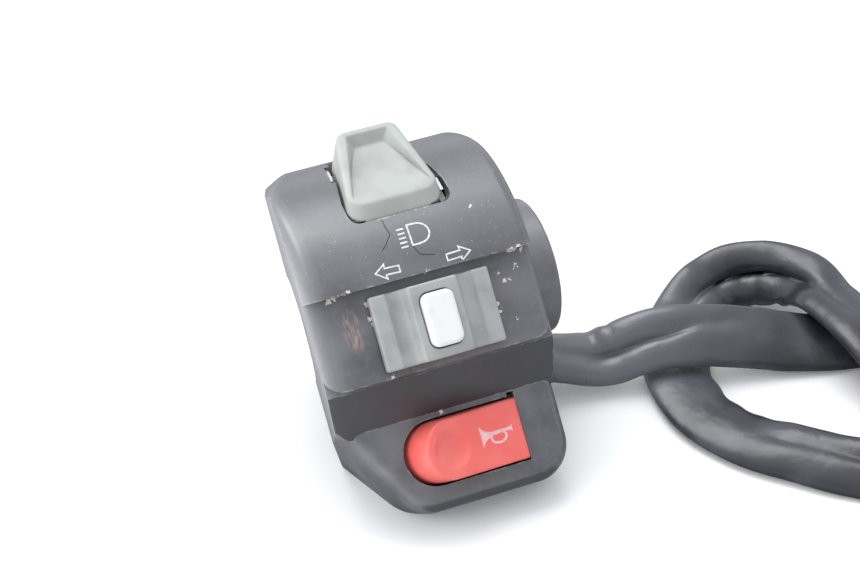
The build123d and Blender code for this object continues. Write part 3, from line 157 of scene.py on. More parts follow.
camera_azimuth = math.radians(-22.5)
camera_elevation = math.radians(42.0)
camera_place = (-0.15147, -0.38519, 0.37729)
camera_data = bpy.data.cameras.new("camera")
camera_data.lens = 112.76
camera_data.sensor_width = 36.0
camera_data.clip_start = 0.01
camera = bpy.data.objects.new("camera", camera_data)
camera.location = camera_place
back = Vector((
    math.sin(camera_azimuth) * math.cos(camera_elevation),
    -math.cos(camera_azimuth) * math.cos(camera_elevation),
    math.sin(camera_elevation),
))
camera.rotation_euler = (-back).to_track_quat("-Z", "Y").to_euler()
bpy.context.scene.collection.objects.link(camera)
bpy.context.scene.camera = camera
bpy.context.scene.view_settings.view_transform = "Standard"


# Loom sleeve. A soft black vinyl tube, slack on its wires, so it lies flattened and
# twists, and creases where it folds back under and over itself.
sleeve_radius = 0.00475
sleeve_route = [
    (0.0275, -0.00669, -0.01946),
    (0.0345, -0.0078, -0.0212),
    (0.0440, -0.0108, -0.0228),
    (0.0520, -0.0122, -0.0190),
    (0.0640, -0.0150, -0.0184),
    (0.0780, -0.0184, -0.0222),
    (0.0920, -0.0220, -0.02425),
    (0.1090, -0.0255, -0.02425),
    (0.1265, -0.0285, -0.02425),
    (0.1440, -0.0355, -0.02425),
    (0.1565, -0.0510, -0.02425),
    (0.1560, -0.0710, -0.02425),
    (0.1430, -0.0865, -0.02425),
    (0.1220, -0.0900, -0.02425),
    (0.1015, -0.0765, -0.02425),
    (0.0845, -0.0615, -0.02425),
    (0.0700, -0.0492, -0.02425),
    (0.0600, -0.0365, -0.02425),
    (0.0572, -0.0210, -0.02425),
    (0.0630, -0.0070, -0.02425),
    (0.0730, 0.0020, -0.02425),
    (0.0840, 0.0046, -0.02345),
    (0.0940, -0.0035, -0.0210),
    (0.0962, -0.0155, -0.0188),
    (0.0980, -0.0310, -0.0188),
    (0.1000, -0.0420, -0.0222),
    (0.1045, -0.0495, -0.02425),
    (0.1120, -0.0535, -0.02425),
]
# Along the sleeve, in shares of its length: how flat it lies, how far its flat side has
# turned from level, in degrees, how deep its groove is, and where across it the groove lies.
sleeve_state_shares = [
    (0.00, 0.20, 0, 0.0, 0.10),
    (0.02, 0.50, -20, 0.8, 0.15),
    (0.05, 0.90, -40, 1.1, 0.05),
    (0.075, 1.00, -44, 1.0, -0.25),
    (0.10, 1.00, -44, 0.7, -0.60),
    (0.13, 1.00, -38, 0.2, -0.75),
    (0.16, 0.95, -26, 0.0, -0.75),
    (0.20, 0.90, -20, 0.1, 0.00),
    (0.26, 0.60, -10, 0.2, 0.00),
    (0.36, 0.55, 0, 0.2, 0.00),
    (0.46, 0.70, 15, 0.4, 0.20),
    (0.54, 0.90, 28, 0.9, 0.25),
    (0.60, 0.95, 28, 0.8, 0.35),
    (0.65, 0.95, 18, 0.3, 0.40),
    (0.69, 1.15, 4, 0.0, 0.00),
    (0.72, 1.25, 0, 0.0, 0.00),
    (0.76, 1.25, 0, 0.0, 0.00),
    (0.785, 1.20, -16, 0.4, -0.30),
    (0.81, 1.20, -34, 0.8, -0.20),
    (0.84, 1.25, -46, 0.8, 0.10),
    (0.865, 1.15, -30, 0.9, 0.30),
    (0.89, 1.10, 4, 0.3, 0.20),
    (0.93, 0.95, 8, 0.1, 0.00),
    (0.97, 0.35, 0, 0.0, 0.00),
    (1.00, 0.00, 0, 0.0, 0.00),
]
ring_step = 0.0009
ring_sides = 44
widening = 0.44
thinning = 0.46
groove_depth = 0.0024
groove_width = 0.30
fold_count = 42
fold_depth = 0.0007
tight_bend = 0.016
ripple_height = 0.00018
lying_z = -0.02425
lying_reach = 0.002
table_gap = 0.00005


def smooth_line(points):
    """Closely spaced points along the NURBS curve that has these control points."""
    curve = bpy.data.curves.new("line", "CURVE")
    curve.dimensions = "3D"
    curve.resolution_u = 24
    spline = curve.splines.new("NURBS")
    spline.points.add(len(points) - 1)
    for knot, point in zip(spline.points, points):
        knot.co = (*point, 1.0)
    spline.order_u = 3
    spline.use_endpoint_u = True
    holder = bpy.data.objects.new("line", curve)
    mesh = bpy.data.meshes.new_from_object(holder)
    places = np.array([vertex.co for vertex in mesh.vertices], float)
    bpy.data.objects.remove(holder)
    bpy.data.curves.remove(curve)
    bpy.data.meshes.remove(mesh)
    return places


def evenly(places, step):
    """The same line in equal steps."""
    gaps = np.linalg.norm(np.diff(places, axis=0), axis=1)
    reach = np.concatenate([[0.0], np.cumsum(gaps)])
    count = int(reach[-1] / step) + 1
    at = np.linspace(0.0, reach[-1], count)
    return np.stack([np.interp(at, reach, places[:, axis]) for axis in range(3)], axis=1)


def eased(shares, at, column):
    """A value read along the sleeve, eased between the stops of the table."""
    stops = [row[0] for row in shares]
    values = [row[column] for row in shares]
    index = np.clip(np.searchsorted(stops, at, side="right") - 1, 0, len(stops) - 2)
    low, high = np.array(stops)[index], np.array(stops)[index + 1]
    part = np.clip((at - low) / (high - low), 0, 1)
    part = part * part * (3 - 2 * part)
    return np.array(values)[index] * (1 - part) + np.array(values)[index + 1] * part


def ring_mesh(name, rings, closed=False):
    """A tube through rings of points, capped at both ends or run round into itself."""
    count, sides = len(rings), len(rings[0])
    points = [tuple(p) for ring in rings for p in ring]
    faces = []
    for row in range(count if closed else count - 1):
        ahead = (row + 1) % count
        for side in range(sides):
            after = (side + 1) % sides
            faces.append((
                row * sides + side,
                row * sides + after,
                ahead * sides + after,
                ahead * sides + side,
            ))
    if not closed:
        faces.append(tuple(reversed(range(sides))))
        faces.append(tuple((count - 1) * sides + side for side in range(sides)))
    mesh = bpy.data.meshes.new(name)
    mesh.from_pydata(points, [], faces)
    tool = bmesh.new()
    tool.from_mesh(mesh)
    bmesh.ops.recalc_face_normals(tool, faces=tool.faces)
    tool.to_mesh(mesh)
    tool.free()
    if sides > 4:
        mesh.shade_smooth()
    piece = bpy.data.objects.new(name, mesh)
    bpy.context.scene.collection.objects.link(piece)
    return piece


sleeve_line = evenly(smooth_line(sleeve_route), ring_step)
along = np.linspace(0.0, 1.0, len(sleeve_line))
flat = eased(sleeve_state_shares, along, 1)
twist = np.radians(eased(sleeve_state_shares, along, 2))
dent = eased(sleeve_state_shares, along, 3)
dent_place = eased(sleeve_state_shares, along, 4)
forward = np.gradient(sleeve_line, axis=0)
forward /= np.linalg.norm(forward, axis=1)[:, None]
bend = np.gradient(forward, axis=0) / ring_step
blur = np.hanning(9)
blur /= blur.sum()
bend = np.stack([np.convolve(bend[:, axis], blur, "same") for axis in range(3)], axis=1)
fold_turn = 2 * math.pi * fold_count
sleeve_rings = []
for row, centre in enumerate(sleeve_line):
    ahead = forward[row]
    side = np.cross(ahead, (0.0, 0.0, 1.0))
    side /= np.linalg.norm(side)
    up = np.cross(side, ahead)
    wide = side * math.cos(twist[row]) + up * math.sin(twist[row])
    tall = np.cross(wide, ahead)
    half_wide = sleeve_radius * (1 + widening * flat[row])
    half_tall = sleeve_radius * (1 - thinning * flat[row])
    tightness = min(1.0, np.linalg.norm(bend[row]) * tight_bend)
    inward = bend[row] / (np.linalg.norm(bend[row]) + 1e-9)
    ring = []
    for step in range(ring_sides):
        turn = 2 * math.pi * step / ring_sides
        out = wide * math.cos(turn) * half_wide + tall * math.sin(turn) * half_tall
        reach = np.linalg.norm(out)
        unit = out / reach
        groove = math.exp(-((math.cos(turn) - dent_place[row]) / groove_width) ** 2)
        reach -= groove_depth * dent[row] * groove * max(0.0, math.sin(turn)) * flat[row]
        inner = max(0.0, float(np.dot(unit, inward)))
        uneven = 1.7 * math.sin(37 * along[row])
        wave = 0.5 + 0.5 * math.sin(fold_turn * along[row] + 1.3 * turn + uneven)
        reach -= fold_depth * tightness * inner * wave
        ripple = math.sin(113 * along[row] + 2 * turn) * math.sin(47 * along[row] - turn)
        reach += ripple_height * ripple
        ring.append(centre + unit * reach)
    ring = np.array(ring)
    lowest = ring[:, 2].min()
    resting = np.clip(1 - (centre[2] - lying_z) / lying_reach, 0, 1)
    ring[:, 2] += (table_z + table_gap - lowest) * resting
    ring[:, 2] = np.maximum(ring[:, 2], table_z + table_gap)
    sleeve_rings.append(ring)
sleeve = ring_mesh("vinyl_sleeve", sleeve_rings)


def new_finish(name):
    """A node material and its shader."""
    finish = bpy.data.materials.new(name)
    finish.use_nodes = True
    return finish, finish.node_tree, finish.node_tree.nodes["Principled BSDF"]


def noise_on(tree, size, detail=4.0, stretch=(1.0, 1.0, 1.0), warp=0.0):
    """Noise on the piece's own coordinates; size is the width of its features."""
    coords = tree.nodes.new("ShaderNodeTexCoord")
    place = tree.nodes.new("ShaderNodeMapping")
    place.inputs["Scale"].default_value = stretch
    noise = tree.nodes.new("ShaderNodeTexNoise")
    noise.inputs["Scale"].default_value = 1 / size
    noise.inputs["Detail"].default_value = detail
    noise.inputs["Distortion"].default_value = warp
    tree.links.new(coords.outputs["Object"], place.inputs["Vector"])
    tree.links.new(place.outputs["Vector"], noise.inputs["Vector"])
    return noise.outputs["Fac"]


def spread(tree, value, low, high, to_low=0.0, to_high=1.0):
    """Maps a value from low..high to to_low..to_high, and stops there."""
    scale = tree.nodes.new("ShaderNodeMapRange")
    scale.inputs["From Min"].default_value = low
    scale.inputs["From Max"].default_value = high
    scale.inputs["To Min"].default_value = to_low
    scale.inputs["To Max"].default_value = to_high
    tree.links.new(value, scale.inputs["Value"])
    return scale.outputs["Result"]


def blended(tree, share, first, second):
    """A colour between two, each a colour or a socket, by a share from 0 to 1."""
    mix = tree.nodes.new("ShaderNodeMix")
    mix.data_type = "RGBA"
    tree.links.new(share, mix.inputs[0])
    for socket, colour in ((mix.inputs[6], first), (mix.inputs[7], second)):
        if isinstance(colour, bpy.types.NodeSocket):
            tree.links.new(colour, socket)
        else:
            socket.default_value = (*colour, 1.0)
    return mix.outputs[2]


def coloured(tree, shader, share, first, second):
    """Colours a shader between two colours, by a share from 0 to 1."""
    tree.links.new(blended(tree, share, first, second), shader.inputs["Base Color"])


def joined(tree, kind, first, second):
    """Two values added, multiplied or compared."""
    maths = tree.nodes.new("ShaderNodeMath")
    maths.operation = kind
    for socket, value in zip(maths.inputs, (first, second)):
        if isinstance(value, bpy.types.NodeSocket):
            tree.links.new(value, socket)
        else:
            socket.default_value = value
    return maths.outputs["Value"]


def raised(tree, shader, height, depth, strength=1.0, soft=0.0):
    """Bumps a surface by a height from 0 to 1 times depth, and rounds its edges softly."""
    bump = tree.nodes.new("ShaderNodeBump")
    if soft:
        rounded = tree.nodes.new("ShaderNodeBevel")
        rounded.samples = 6
        rounded.inputs["Radius"].default_value = soft
        tree.links.new(rounded.outputs["Normal"], bump.inputs["Normal"])
    bump.inputs["Distance"].default_value = depth
    bump.inputs["Strength"].default_value = strength
    tree.links.new(height, bump.inputs["Height"])
    tree.links.new(bump.outputs["Normal"], shader.inputs["Normal"])


vinyl, tree, shader = new_finish("sleeve_vinyl")
tone_shift = spread(tree, noise_on(tree, 0.011, 5.0), 0.42, 0.68)
tint = blended(tree, tone_shift, (0.020, 0.021, 0.027), (0.050, 0.053, 0.068))
here = tree.nodes.new("ShaderNodeTexCoord")
from_casing = tree.nodes.new("ShaderNodeSeparateXYZ")
tree.links.new(here.outputs["Object"], from_casing.inputs["Vector"])
# Painted highlight: near the casing, nearer than x = 0.082 m and above y = -0.030 m, the vinyl is painted
# paler and bluer in place of the highlight along its upper ridge.
painted_highlight_share = spread(tree, from_casing.outputs["X"], 0.082, 0.052, 0.0, 0.85)
painted_highlight_share = joined(tree, "MULTIPLY", painted_highlight_share, spread(tree, from_casing.outputs["Y"], -0.030, -0.020))
tint = blended(tree, painted_highlight_share, tint, (0.150, 0.156, 0.176))
tree.links.new(tint, shader.inputs["Base Color"])
gloss = spread(tree, noise_on(tree, 0.004, 3.0), 0.3, 0.7, 0.26, 0.38)
tree.links.new(gloss, shader.inputs["Roughness"])
shader.inputs["Specular IOR Level"].default_value = 0.55
shader.inputs["Coat Weight"].default_value = 0.28
shader.inputs["Coat IOR"].default_value = 1.8
shader.inputs["Coat Roughness"].default_value = 0.36
slack = joined(tree, "MULTIPLY", noise_on(tree, 0.005, 2.0), 6.0)
dimples = joined(tree, "ADD", noise_on(tree, 0.0011, 4.0), slack)
raised(tree, shader, dimples, 0.00005)
sleeve.data.materials.append(vinyl)
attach(sleeve, "casing")
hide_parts("loom_sleeve")


def coat(finish, *nodes):
    """Gives CAD pieces a finish in place of their plain one."""
    for name in nodes:
        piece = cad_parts[name]
        piece.data.materials.clear()
        piece.data.materials.append(finish)


# Connector. A natural nylon housing with six brass receptacles, crimped on the leads
# that come out of the sleeve's taped end.
nylon, tree, shader = new_finish("connector_nylon")
yellowed = spread(tree, noise_on(tree, 0.009), 0.35, 0.7)
coloured(tree, shader, yellowed, (0.70, 0.68, 0.62), (0.60, 0.56, 0.46))
shader.inputs["Roughness"].default_value = 0.42
shader.inputs["Subsurface Weight"].default_value = 0.15
shader.inputs["Subsurface Scale"].default_value = 0.002
raised(tree, shader, noise_on(tree, 0.0006, 2.0), 0.00002)
coat(nylon, "connector_housing")

tape, tree, shader = new_finish("wrapped_tape")
layers = tree.nodes.new("ShaderNodeTexWave")
layers.inputs["Scale"].default_value = 140.0
layers.inputs["Distortion"].default_value = 1.2
coords = tree.nodes.new("ShaderNodeTexCoord")
tree.links.new(coords.outputs["Object"], layers.inputs["Vector"])
coloured(tree, shader, layers.outputs["Fac"], (0.012, 0.012, 0.013), (0.03, 0.03, 0.032))
shader.inputs["Roughness"].default_value = 0.35
raised(tree, shader, layers.outputs["Fac"], 0.0002)
coat(tape, "sleeve_end_tape")

leads, tree, shader = new_finish("wire_insulation")
islands = tree.nodes.new("ShaderNodeNewGeometry")
hues = tree.nodes.new("ShaderNodeValToRGB")
hues.color_ramp.interpolation = "CONSTANT"
lead_colours = [
    (0.00, (0.02, 0.02, 0.02, 1)),
    (0.17, (0.50, 0.02, 0.02, 1)),
    (0.34, (0.02, 0.10, 0.42, 1)),
    (0.50, (0.02, 0.25, 0.06, 1)),
    (0.67, (0.55, 0.35, 0.02, 1)),
    (0.84, (0.30, 0.14, 0.05, 1)),
]
for place, colour in lead_colours[2:]:
    hues.color_ramp.elements.new(place)
for stop, (place, colour) in zip(hues.color_ramp.elements, lead_colours):
    stop.position = place
    stop.color = colour
tree.links.new(islands.outputs["Random Per Island"], hues.inputs["Fac"])
tree.links.new(hues.outputs["Color"], shader.inputs["Base Color"])
shader.inputs["Roughness"].default_value = 0.4
coat(leads, "connector_wires", "inner_wires")

rubber, tree, shader = new_finish("grommet_rubber")
bloom = spread(tree, noise_on(tree, 0.003), 0.4, 0.75)
coloured(tree, shader, bloom, (0.018, 0.018, 0.019), (0.06, 0.06, 0.062))
shader.inputs["Roughness"].default_value = 0.62
raised(tree, shader, noise_on(tree, 0.0005), 0.00003)
coat(rubber, "cable_grommet")


# Casing. Two shells cast in alloy and painted satin black, rubbed in patches by hands and weather, with the
# paint chipped along the edges and round the turn switch. Part of their tone is painted light: painted
# reflection up the face and on the outboard wall, painted shade under the panel, and a painted highlight on
# the edges.
chip_places = [
    (20.1, 0.7, 0.42), (16.2, 0.2, 0.34), (17.0, -1.4, 0.36), (18.2, -1.5, 0.30), (14.5, -5.6, 0.30),
    (14.7, -7.2, 0.42), (17.4, -9.4, 0.28), (19.6, 4.1, 0.40), (21.0, 4.2, 0.46), (22.3, 3.6, 0.42),
    (-19.3, 3.9, 0.62), (-18.4, 4.1, 0.50), (-15.7, 4.4, 0.34), (-12.1, 1.4, 0.40), (-12.2, -1.7, 0.46),
    (-12.0, -2.8, 0.36), (-10.6, -14.0, 0.34), (-0.6, -23.8, 0.34), (14.3, 14.8, 0.26), (1.4, 4.6, 0.30),
]
scuff_place = (-16.2, -3.4)
scuff_size = (2.4, 5.2)
dirt_place = (1.0, -13.2)


def laid_coords(tree):
    """Places on the casing, in millimetres: across it, up its face and out of it."""
    coords = tree.nodes.new("ShaderNodeTexCoord")
    turn = tree.nodes.new("ShaderNodeMapping")
    turn.inputs["Rotation"].default_value = (-shell_tilt, 0.0, 0.0)
    scale = tree.nodes.new("ShaderNodeVectorMath")
    scale.operation = "SCALE"
    scale.inputs["Scale"].default_value = 1000.0
    tree.links.new(coords.outputs["Object"], turn.inputs["Vector"])
    tree.links.new(turn.outputs["Vector"], scale.inputs[0])
    return scale.outputs["Vector"]


def away(tree, value, place, size):
    """How far a value lies from a place, in shares of a size."""
    return joined(tree, "DIVIDE", joined(tree, "SUBTRACT", value, place), size)


def paint_finish(name, with_marks):
    """Satin black paint in random patches, with painted reflection on its upper face and outboard wall,
    painted shade below the panel, rubbed edges partly lightened as a painted highlight, and with the chips
    seen in front.
    """
    finish, tree, shader = new_finish(name)
    place = laid_coords(tree)
    axes = tree.nodes.new("ShaderNodeSeparateXYZ")
    tree.links.new(place, axes.inputs["Vector"])
    hands = spread(tree, noise_on(tree, 0.014, 6.0, warp=0.6), 0.36, 0.70)
    dust = spread(tree, noise_on(tree, 0.0013, 8.0), 0.52, 0.78, 0.0, 0.5)
    base = blended(tree, hands, (0.062, 0.063, 0.071), (0.155, 0.159, 0.176))
    # Painted reflection: from 2 mm to 12 mm up the face, the paint is painted paler and bluer in place of
    # the sky it reflects as it turns upwards.
    up_face = spread(tree, axes.outputs["Y"], 2.0, 12.0)
    tone_shift = joined(tree, "MULTIPLY", up_face, 0.75)
    base = blended(tree, tone_shift, base, (0.112, 0.115, 0.127))
    # Painted reflection: past x = -20 mm, the outboard wall is painted pale grey in place of the glare of
    # the white table at a grazing angle.
    outboard_painted_reflection = spread(tree, axes.outputs["X"], -20.0, -24.5, 0.0, 0.7)
    base = blended(tree, outboard_painted_reflection, base, (0.30, 0.30, 0.31))
    base = blended(tree, dust, base, (0.17, 0.165, 0.16))
    normal = tree.nodes.new("ShaderNodeNewGeometry")
    leaning = tree.nodes.new("ShaderNodeSeparateXYZ")
    tree.links.new(normal.outputs["Normal"], leaning.inputs["Vector"])
    # Painted shade: below the panel, the faces that turn downwards are painted darker.
    below_panel = spread(tree, axes.outputs["Y"], -12.5, -14.0)
    lower = joined(tree, "MULTIPLY", below_panel, spread(tree, leaning.outputs["Y"], -0.90, -0.96))
    base = blended(tree, joined(tree, "MULTIPLY", lower, 0.85), base, (0.052, 0.051, 0.056))
    rounded = tree.nodes.new("ShaderNodeBevel")
    rounded.samples = 4
    rounded.inputs["Radius"].default_value = 0.0006
    shape = tree.nodes.new("ShaderNodeNewGeometry")
    facing = tree.nodes.new("ShaderNodeVectorMath")
    facing.operation = "DOT_PRODUCT"
    tree.links.new(rounded.outputs["Normal"], facing.inputs[0])
    tree.links.new(shape.outputs["Normal"], facing.inputs[1])
    # Edges lightened in broken patches: partly real wear of the paint, partly a painted highlight along the
    # lip.
    edge = spread(tree, facing.outputs["Value"], 0.99, 0.90)
    broken = spread(tree, noise_on(tree, 0.0030, 8.0, warp=1.0), 0.50, 0.62)
    edge_wear_and_highlight = joined(tree, "MULTIPLY", edge, broken)
    base = blended(tree, joined(tree, "MULTIPLY", edge_wear_and_highlight, 0.85), base, (0.42, 0.40, 0.39))
    bare = None
    if with_marks:
        ragged = tree.nodes.new("ShaderNodeTexNoise")
        ragged.inputs["Scale"].default_value = 1.6
        ragged.inputs["Detail"].default_value = 5.0
        tree.links.new(place, ragged.inputs["Vector"])
        fray = spread(tree, ragged.outputs["Fac"], 0.3, 0.7, -0.45, 0.45)
        for x, w, size in chip_places:
            gap = tree.nodes.new("ShaderNodeVectorMath")
            gap.operation = "DISTANCE"
            flat_place = tree.nodes.new("ShaderNodeCombineXYZ")
            tree.links.new(axes.outputs["X"], flat_place.inputs["X"])
            tree.links.new(axes.outputs["Y"], flat_place.inputs["Y"])
            tree.links.new(flat_place.outputs["Vector"], gap.inputs[0])
            gap.inputs[1].default_value = (x, w, 0.0)
            reach = joined(tree, "ADD", gap.outputs["Value"], fray)
            spot = spread(tree, reach, size * 1.05, size * 0.85)
            bare = spot if bare is None else joined(tree, "MAXIMUM", bare, spot)
        front = spread(tree, axes.outputs["Z"], 12.0, 12.5)
        bare = joined(tree, "MULTIPLY", bare, front)
        across = joined(tree, "POWER", away(tree, axes.outputs["X"], scuff_place[0], scuff_size[0]), 2.0)
        along = joined(tree, "POWER", away(tree, axes.outputs["Y"], scuff_place[1], scuff_size[1]), 2.0)
        reach = joined(tree, "ADD", across, along)
        streaks = tree.nodes.new("ShaderNodeTexNoise")
        streaks.inputs["Scale"].default_value = 1.0
        streaks.inputs["Detail"].default_value = 6.0
        squeeze = tree.nodes.new("ShaderNodeMapping")
        squeeze.inputs["Rotation"].default_value = (0.0, 0.0, -0.35)
        squeeze.inputs["Scale"].default_value = (1.6, 0.45, 1.0)
        tree.links.new(place, squeeze.inputs["Vector"])
        tree.links.new(squeeze.outputs["Vector"], streaks.inputs["Vector"])
        streaked = spread(tree, streaks.outputs["Fac"], 0.46, 0.62)
        scuffed = joined(tree, "MULTIPLY", spread(tree, reach, 1.0, 0.1), streaked)
        scuffed = joined(tree, "MULTIPLY", scuffed, front)
        base = blended(tree, joined(tree, "MULTIPLY", scuffed, 0.7), base, (0.46, 0.31, 0.27))
        aside = joined(tree, "ABSOLUTE", away(tree, axes.outputs["X"], dirt_place[0], 1.0), 0.0)
        below = joined(tree, "ABSOLUTE", away(tree, axes.outputs["Y"], dirt_place[1], 1.0), 0.0)
        strip = joined(tree, "MULTIPLY", spread(tree, aside, 12.0, 7.0), spread(tree, below, 1.3, 0.2))
        dirt = joined(tree, "MULTIPLY", strip, spread(tree, ragged.outputs["Fac"], 0.42, 0.6))
        base = blended(tree, joined(tree, "MULTIPLY", dirt, front), base, (0.17, 0.10, 0.055))
        base = blended(tree, bare, base, (0.74, 0.66, 0.63))
    tree.links.new(base, shader.inputs["Base Color"])
    worn_gloss = spread(tree, noise_on(tree, 0.006, 6.0), 0.35, 0.7, 0.30, 0.46)
    rubbed = joined(tree, "ADD", worn_gloss, joined(tree, "MULTIPLY", lower, 0.3))
    tree.links.new(rubbed, shader.inputs["Roughness"])
    shader.inputs["Specular IOR Level"].default_value = 0.7
    collar = spread(tree, axes.outputs["X"], 24.6, 25.2)
    polish = joined(tree, "MAXIMUM", spread(tree, lower, 0.0, 1.0, 0.55, 0.08), collar)
    tree.links.new(polish, shader.inputs["Coat Weight"])
    shader.inputs["Coat IOR"].default_value = 1.8
    shader.inputs["Coat Roughness"].default_value = 0.36
    grain = noise_on(tree, 0.0009, 3.0)
    if bare is not None:
        grain = joined(tree, "SUBTRACT", grain, bare)
    raised(tree, shader, grain, 0.00003)
    return finish


coat(paint_finish("worn_black_paint", True), "rear_shell")
coat(paint_finish("black_paint", False), "front_shell")


def shape_of(name):
    """A search tree over a CAD piece, in the row frame."""
    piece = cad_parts[name]
    places = [piece.matrix_world @ vertex.co for vertex in piece.data.vertices]
    return BVHTree.FromPolygons(places, [tuple(face.vertices) for face in piece.data.polygons])


out_of_face = Vector((0.0, -math.sin(shell_tilt), math.cos(shell_tilt)))
up_face = Vector((0.0, math.cos(shell_tilt), math.sin(shell_tilt)))


def laid_on(shape, x, w):
    """The point on a shape that lies behind a place on the face, in millimetres."""
    start = Vector((x / 1000, 0.0, 0.0)) + up_face * (w / 1000) + out_of_face * 0.08
    return shape.ray_cast(start, -out_of_face)[0]


def ribbon(name, shape, outline, width, closed, widths=None, film=0.00003):
    """A printed line: a thin bar laid on a shape along an outline of (x, w) places."""
    count = len(outline)
    lefts, rights = [], []
    for index, (x, w) in enumerate(outline):
        before = outline[index - 1] if closed or index else outline[index]
        after = outline[(index + 1) % count] if closed or index < count - 1 else outline[index]
        first = Vector((x - before[0], w - before[1]))
        second = Vector((after[0] - x, after[1] - w))
        first = (first if first.length else second).normalized()
        second = (second if second.length else first).normalized()
        middle = (first + second).normalized()
        reach = 0.5 * (widths[index] if widths else width) / max(0.35, middle.dot(second))
        lefts.append(Vector((x - middle.y * reach, w + middle.x * reach)))
        rights.append(Vector((x + middle.y * reach, w - middle.x * reach)))
    rows = []
    for index in range(count if closed else count - 1):
        after = (index + 1) % count
        pieces = max(1, int((lefts[after] - lefts[index]).length / 0.3))
        for part in range(pieces):
            share = part / pieces
            left = lefts[index].lerp(lefts[after], share)
            rows.append((left, rights[index].lerp(rights[after], share)))
    if not closed:
        rows.append((lefts[-1], rights[-1]))
    rings = []
    for left, right in rows:
        low_left, low_right = laid_on(shape, *left), laid_on(shape, *right)
        lift = out_of_face * film
        rings.append([low_left - lift, low_left + lift, low_right + lift, low_right - lift])
    return ring_mesh(name, rings, closed)


# Printed marks. White pictograms padded on the paint: the high beam above the turn
# switch, an outlined arrow for each side, and the horn on its red button.
shell_shape = shape_of("rear_shell")
beam_flat_x = 0.1
beam_middle_w = 12.3
beam_half_height = 2.1
beam_round_x = 1.4
beam_round_reach = 2.9
beam_lean = 0.15
beam_outline = [
    (beam_flat_x, beam_middle_w - beam_half_height),
    (beam_flat_x + beam_lean, beam_middle_w + beam_half_height),
]
for step in range(13):
    turn = math.radians(90 - 15 * step)
    beam_outline.append((
        beam_round_x + beam_round_reach * max(0.0, math.cos(turn)) ** 0.8,
        beam_middle_w + beam_half_height * math.sin(turn),
    ))
marks = [ribbon("high_beam_mark", shell_shape, beam_outline, 0.34, True)]
head, tail, head_half, shaft_half = 2.2, 5.1, 1.5, 0.66
arrow_lean = 0.04
for name, tip_x, side, middle_w in (
    ("left_arrow_mark", -9.2, 1, 6.6),
    ("right_arrow_mark", 11.1, -1, 6.2),
):
    points = [
        (0.0, 0.0), (head, head_half), (head - 0.1, shaft_half), (tail, shaft_half),
        (tail, -shaft_half), (head - 0.1, -shaft_half), (head, -head_half),
    ]
    outline = [(tip_x + side * along, middle_w + across - arrow_lean * along) for along, across in points]
    marks.append(ribbon(name, shell_shape, outline, 0.30, True))
print_white, tree, shader = new_finish("print_white")
rubbed_ink = spread(tree, noise_on(tree, 0.0006, 4.0), 0.30, 0.62)
coloured(tree, shader, rubbed_ink, (0.55, 0.56, 0.58), (0.88, 0.89, 0.90))
shader.inputs["Roughness"].default_value = 0.5
for mark in marks:
    mark.data.materials.append(print_white)
    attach(mark, "casing")

# Beam lines. The five rays of the high beam symbol, printed with it: one bar that a node
# group stamps down the casing's surface at even steps.
beam_bar = (0.00150, 0.00034, 0.00006)
beam_first = (-1.36, 13.90)
beam_step = (-0.055, -0.92)
bars = bpy.data.node_groups.new("bars_on_a_surface", "GeometryNodeTree")
bars_in = bars.nodes.new("NodeGroupInput")
for name, kind in (
    ("Surface", "Object"), ("First", "Vector"), ("Step", "Vector"), ("Count", "Int"),
    ("Bar", "Vector"), ("Inward", "Vector"), ("Ink", "Material"),
):
    bars.interface.new_socket(name, in_out="INPUT", socket_type="NodeSocket" + kind)
bars.interface.new_socket("Geometry", in_out="OUTPUT", socket_type="NodeSocketGeometry")
row_line = bars.nodes.new("GeometryNodeMeshLine")
onto = bars.nodes.new("GeometryNodeObjectInfo")
onto.transform_space = "RELATIVE"
cast = bars.nodes.new("GeometryNodeRaycast")
settle = bars.nodes.new("GeometryNodeSetPosition")
bar = bars.nodes.new("GeometryNodeMeshCube")
upright = bars.nodes.new("FunctionNodeAlignRotationToVector")
upright.axis = "Z"
stamp = bars.nodes.new("GeometryNodeInstanceOnPoints")
real = bars.nodes.new("GeometryNodeRealizeInstances")
inked = bars.nodes.new("GeometryNodeSetMaterial")
bars_out = bars.nodes.new("NodeGroupOutput")
for start, end in (
    (bars_in.outputs["Count"], row_line.inputs["Count"]),
    (bars_in.outputs["First"], row_line.inputs["Start Location"]),
    (bars_in.outputs["Step"], row_line.inputs["Offset"]),
    (bars_in.outputs["Surface"], onto.inputs["Object"]),
    (onto.outputs["Geometry"], cast.inputs["Target Geometry"]),
    (bars_in.outputs["Inward"], cast.inputs["Ray Direction"]),
    (row_line.outputs["Mesh"], settle.inputs["Geometry"]),
    (cast.outputs["Hit Position"], settle.inputs["Position"]),
    (bars_in.outputs["Bar"], bar.inputs["Size"]),
    (settle.outputs["Geometry"], stamp.inputs["Points"]),
    (bar.outputs["Mesh"], stamp.inputs["Instance"]),
    (cast.outputs["Hit Normal"], upright.inputs["Vector"]),
    (upright.outputs["Rotation"], stamp.inputs["Rotation"]),
    (stamp.outputs["Instances"], real.inputs["Geometry"]),
    (real.outputs["Geometry"], inked.inputs["Geometry"]),
    (bars_in.outputs["Ink"], inked.inputs["Material"]),
    (inked.outputs["Geometry"], bars_out.inputs["Geometry"]),
):
    bars.links.new(start, end)


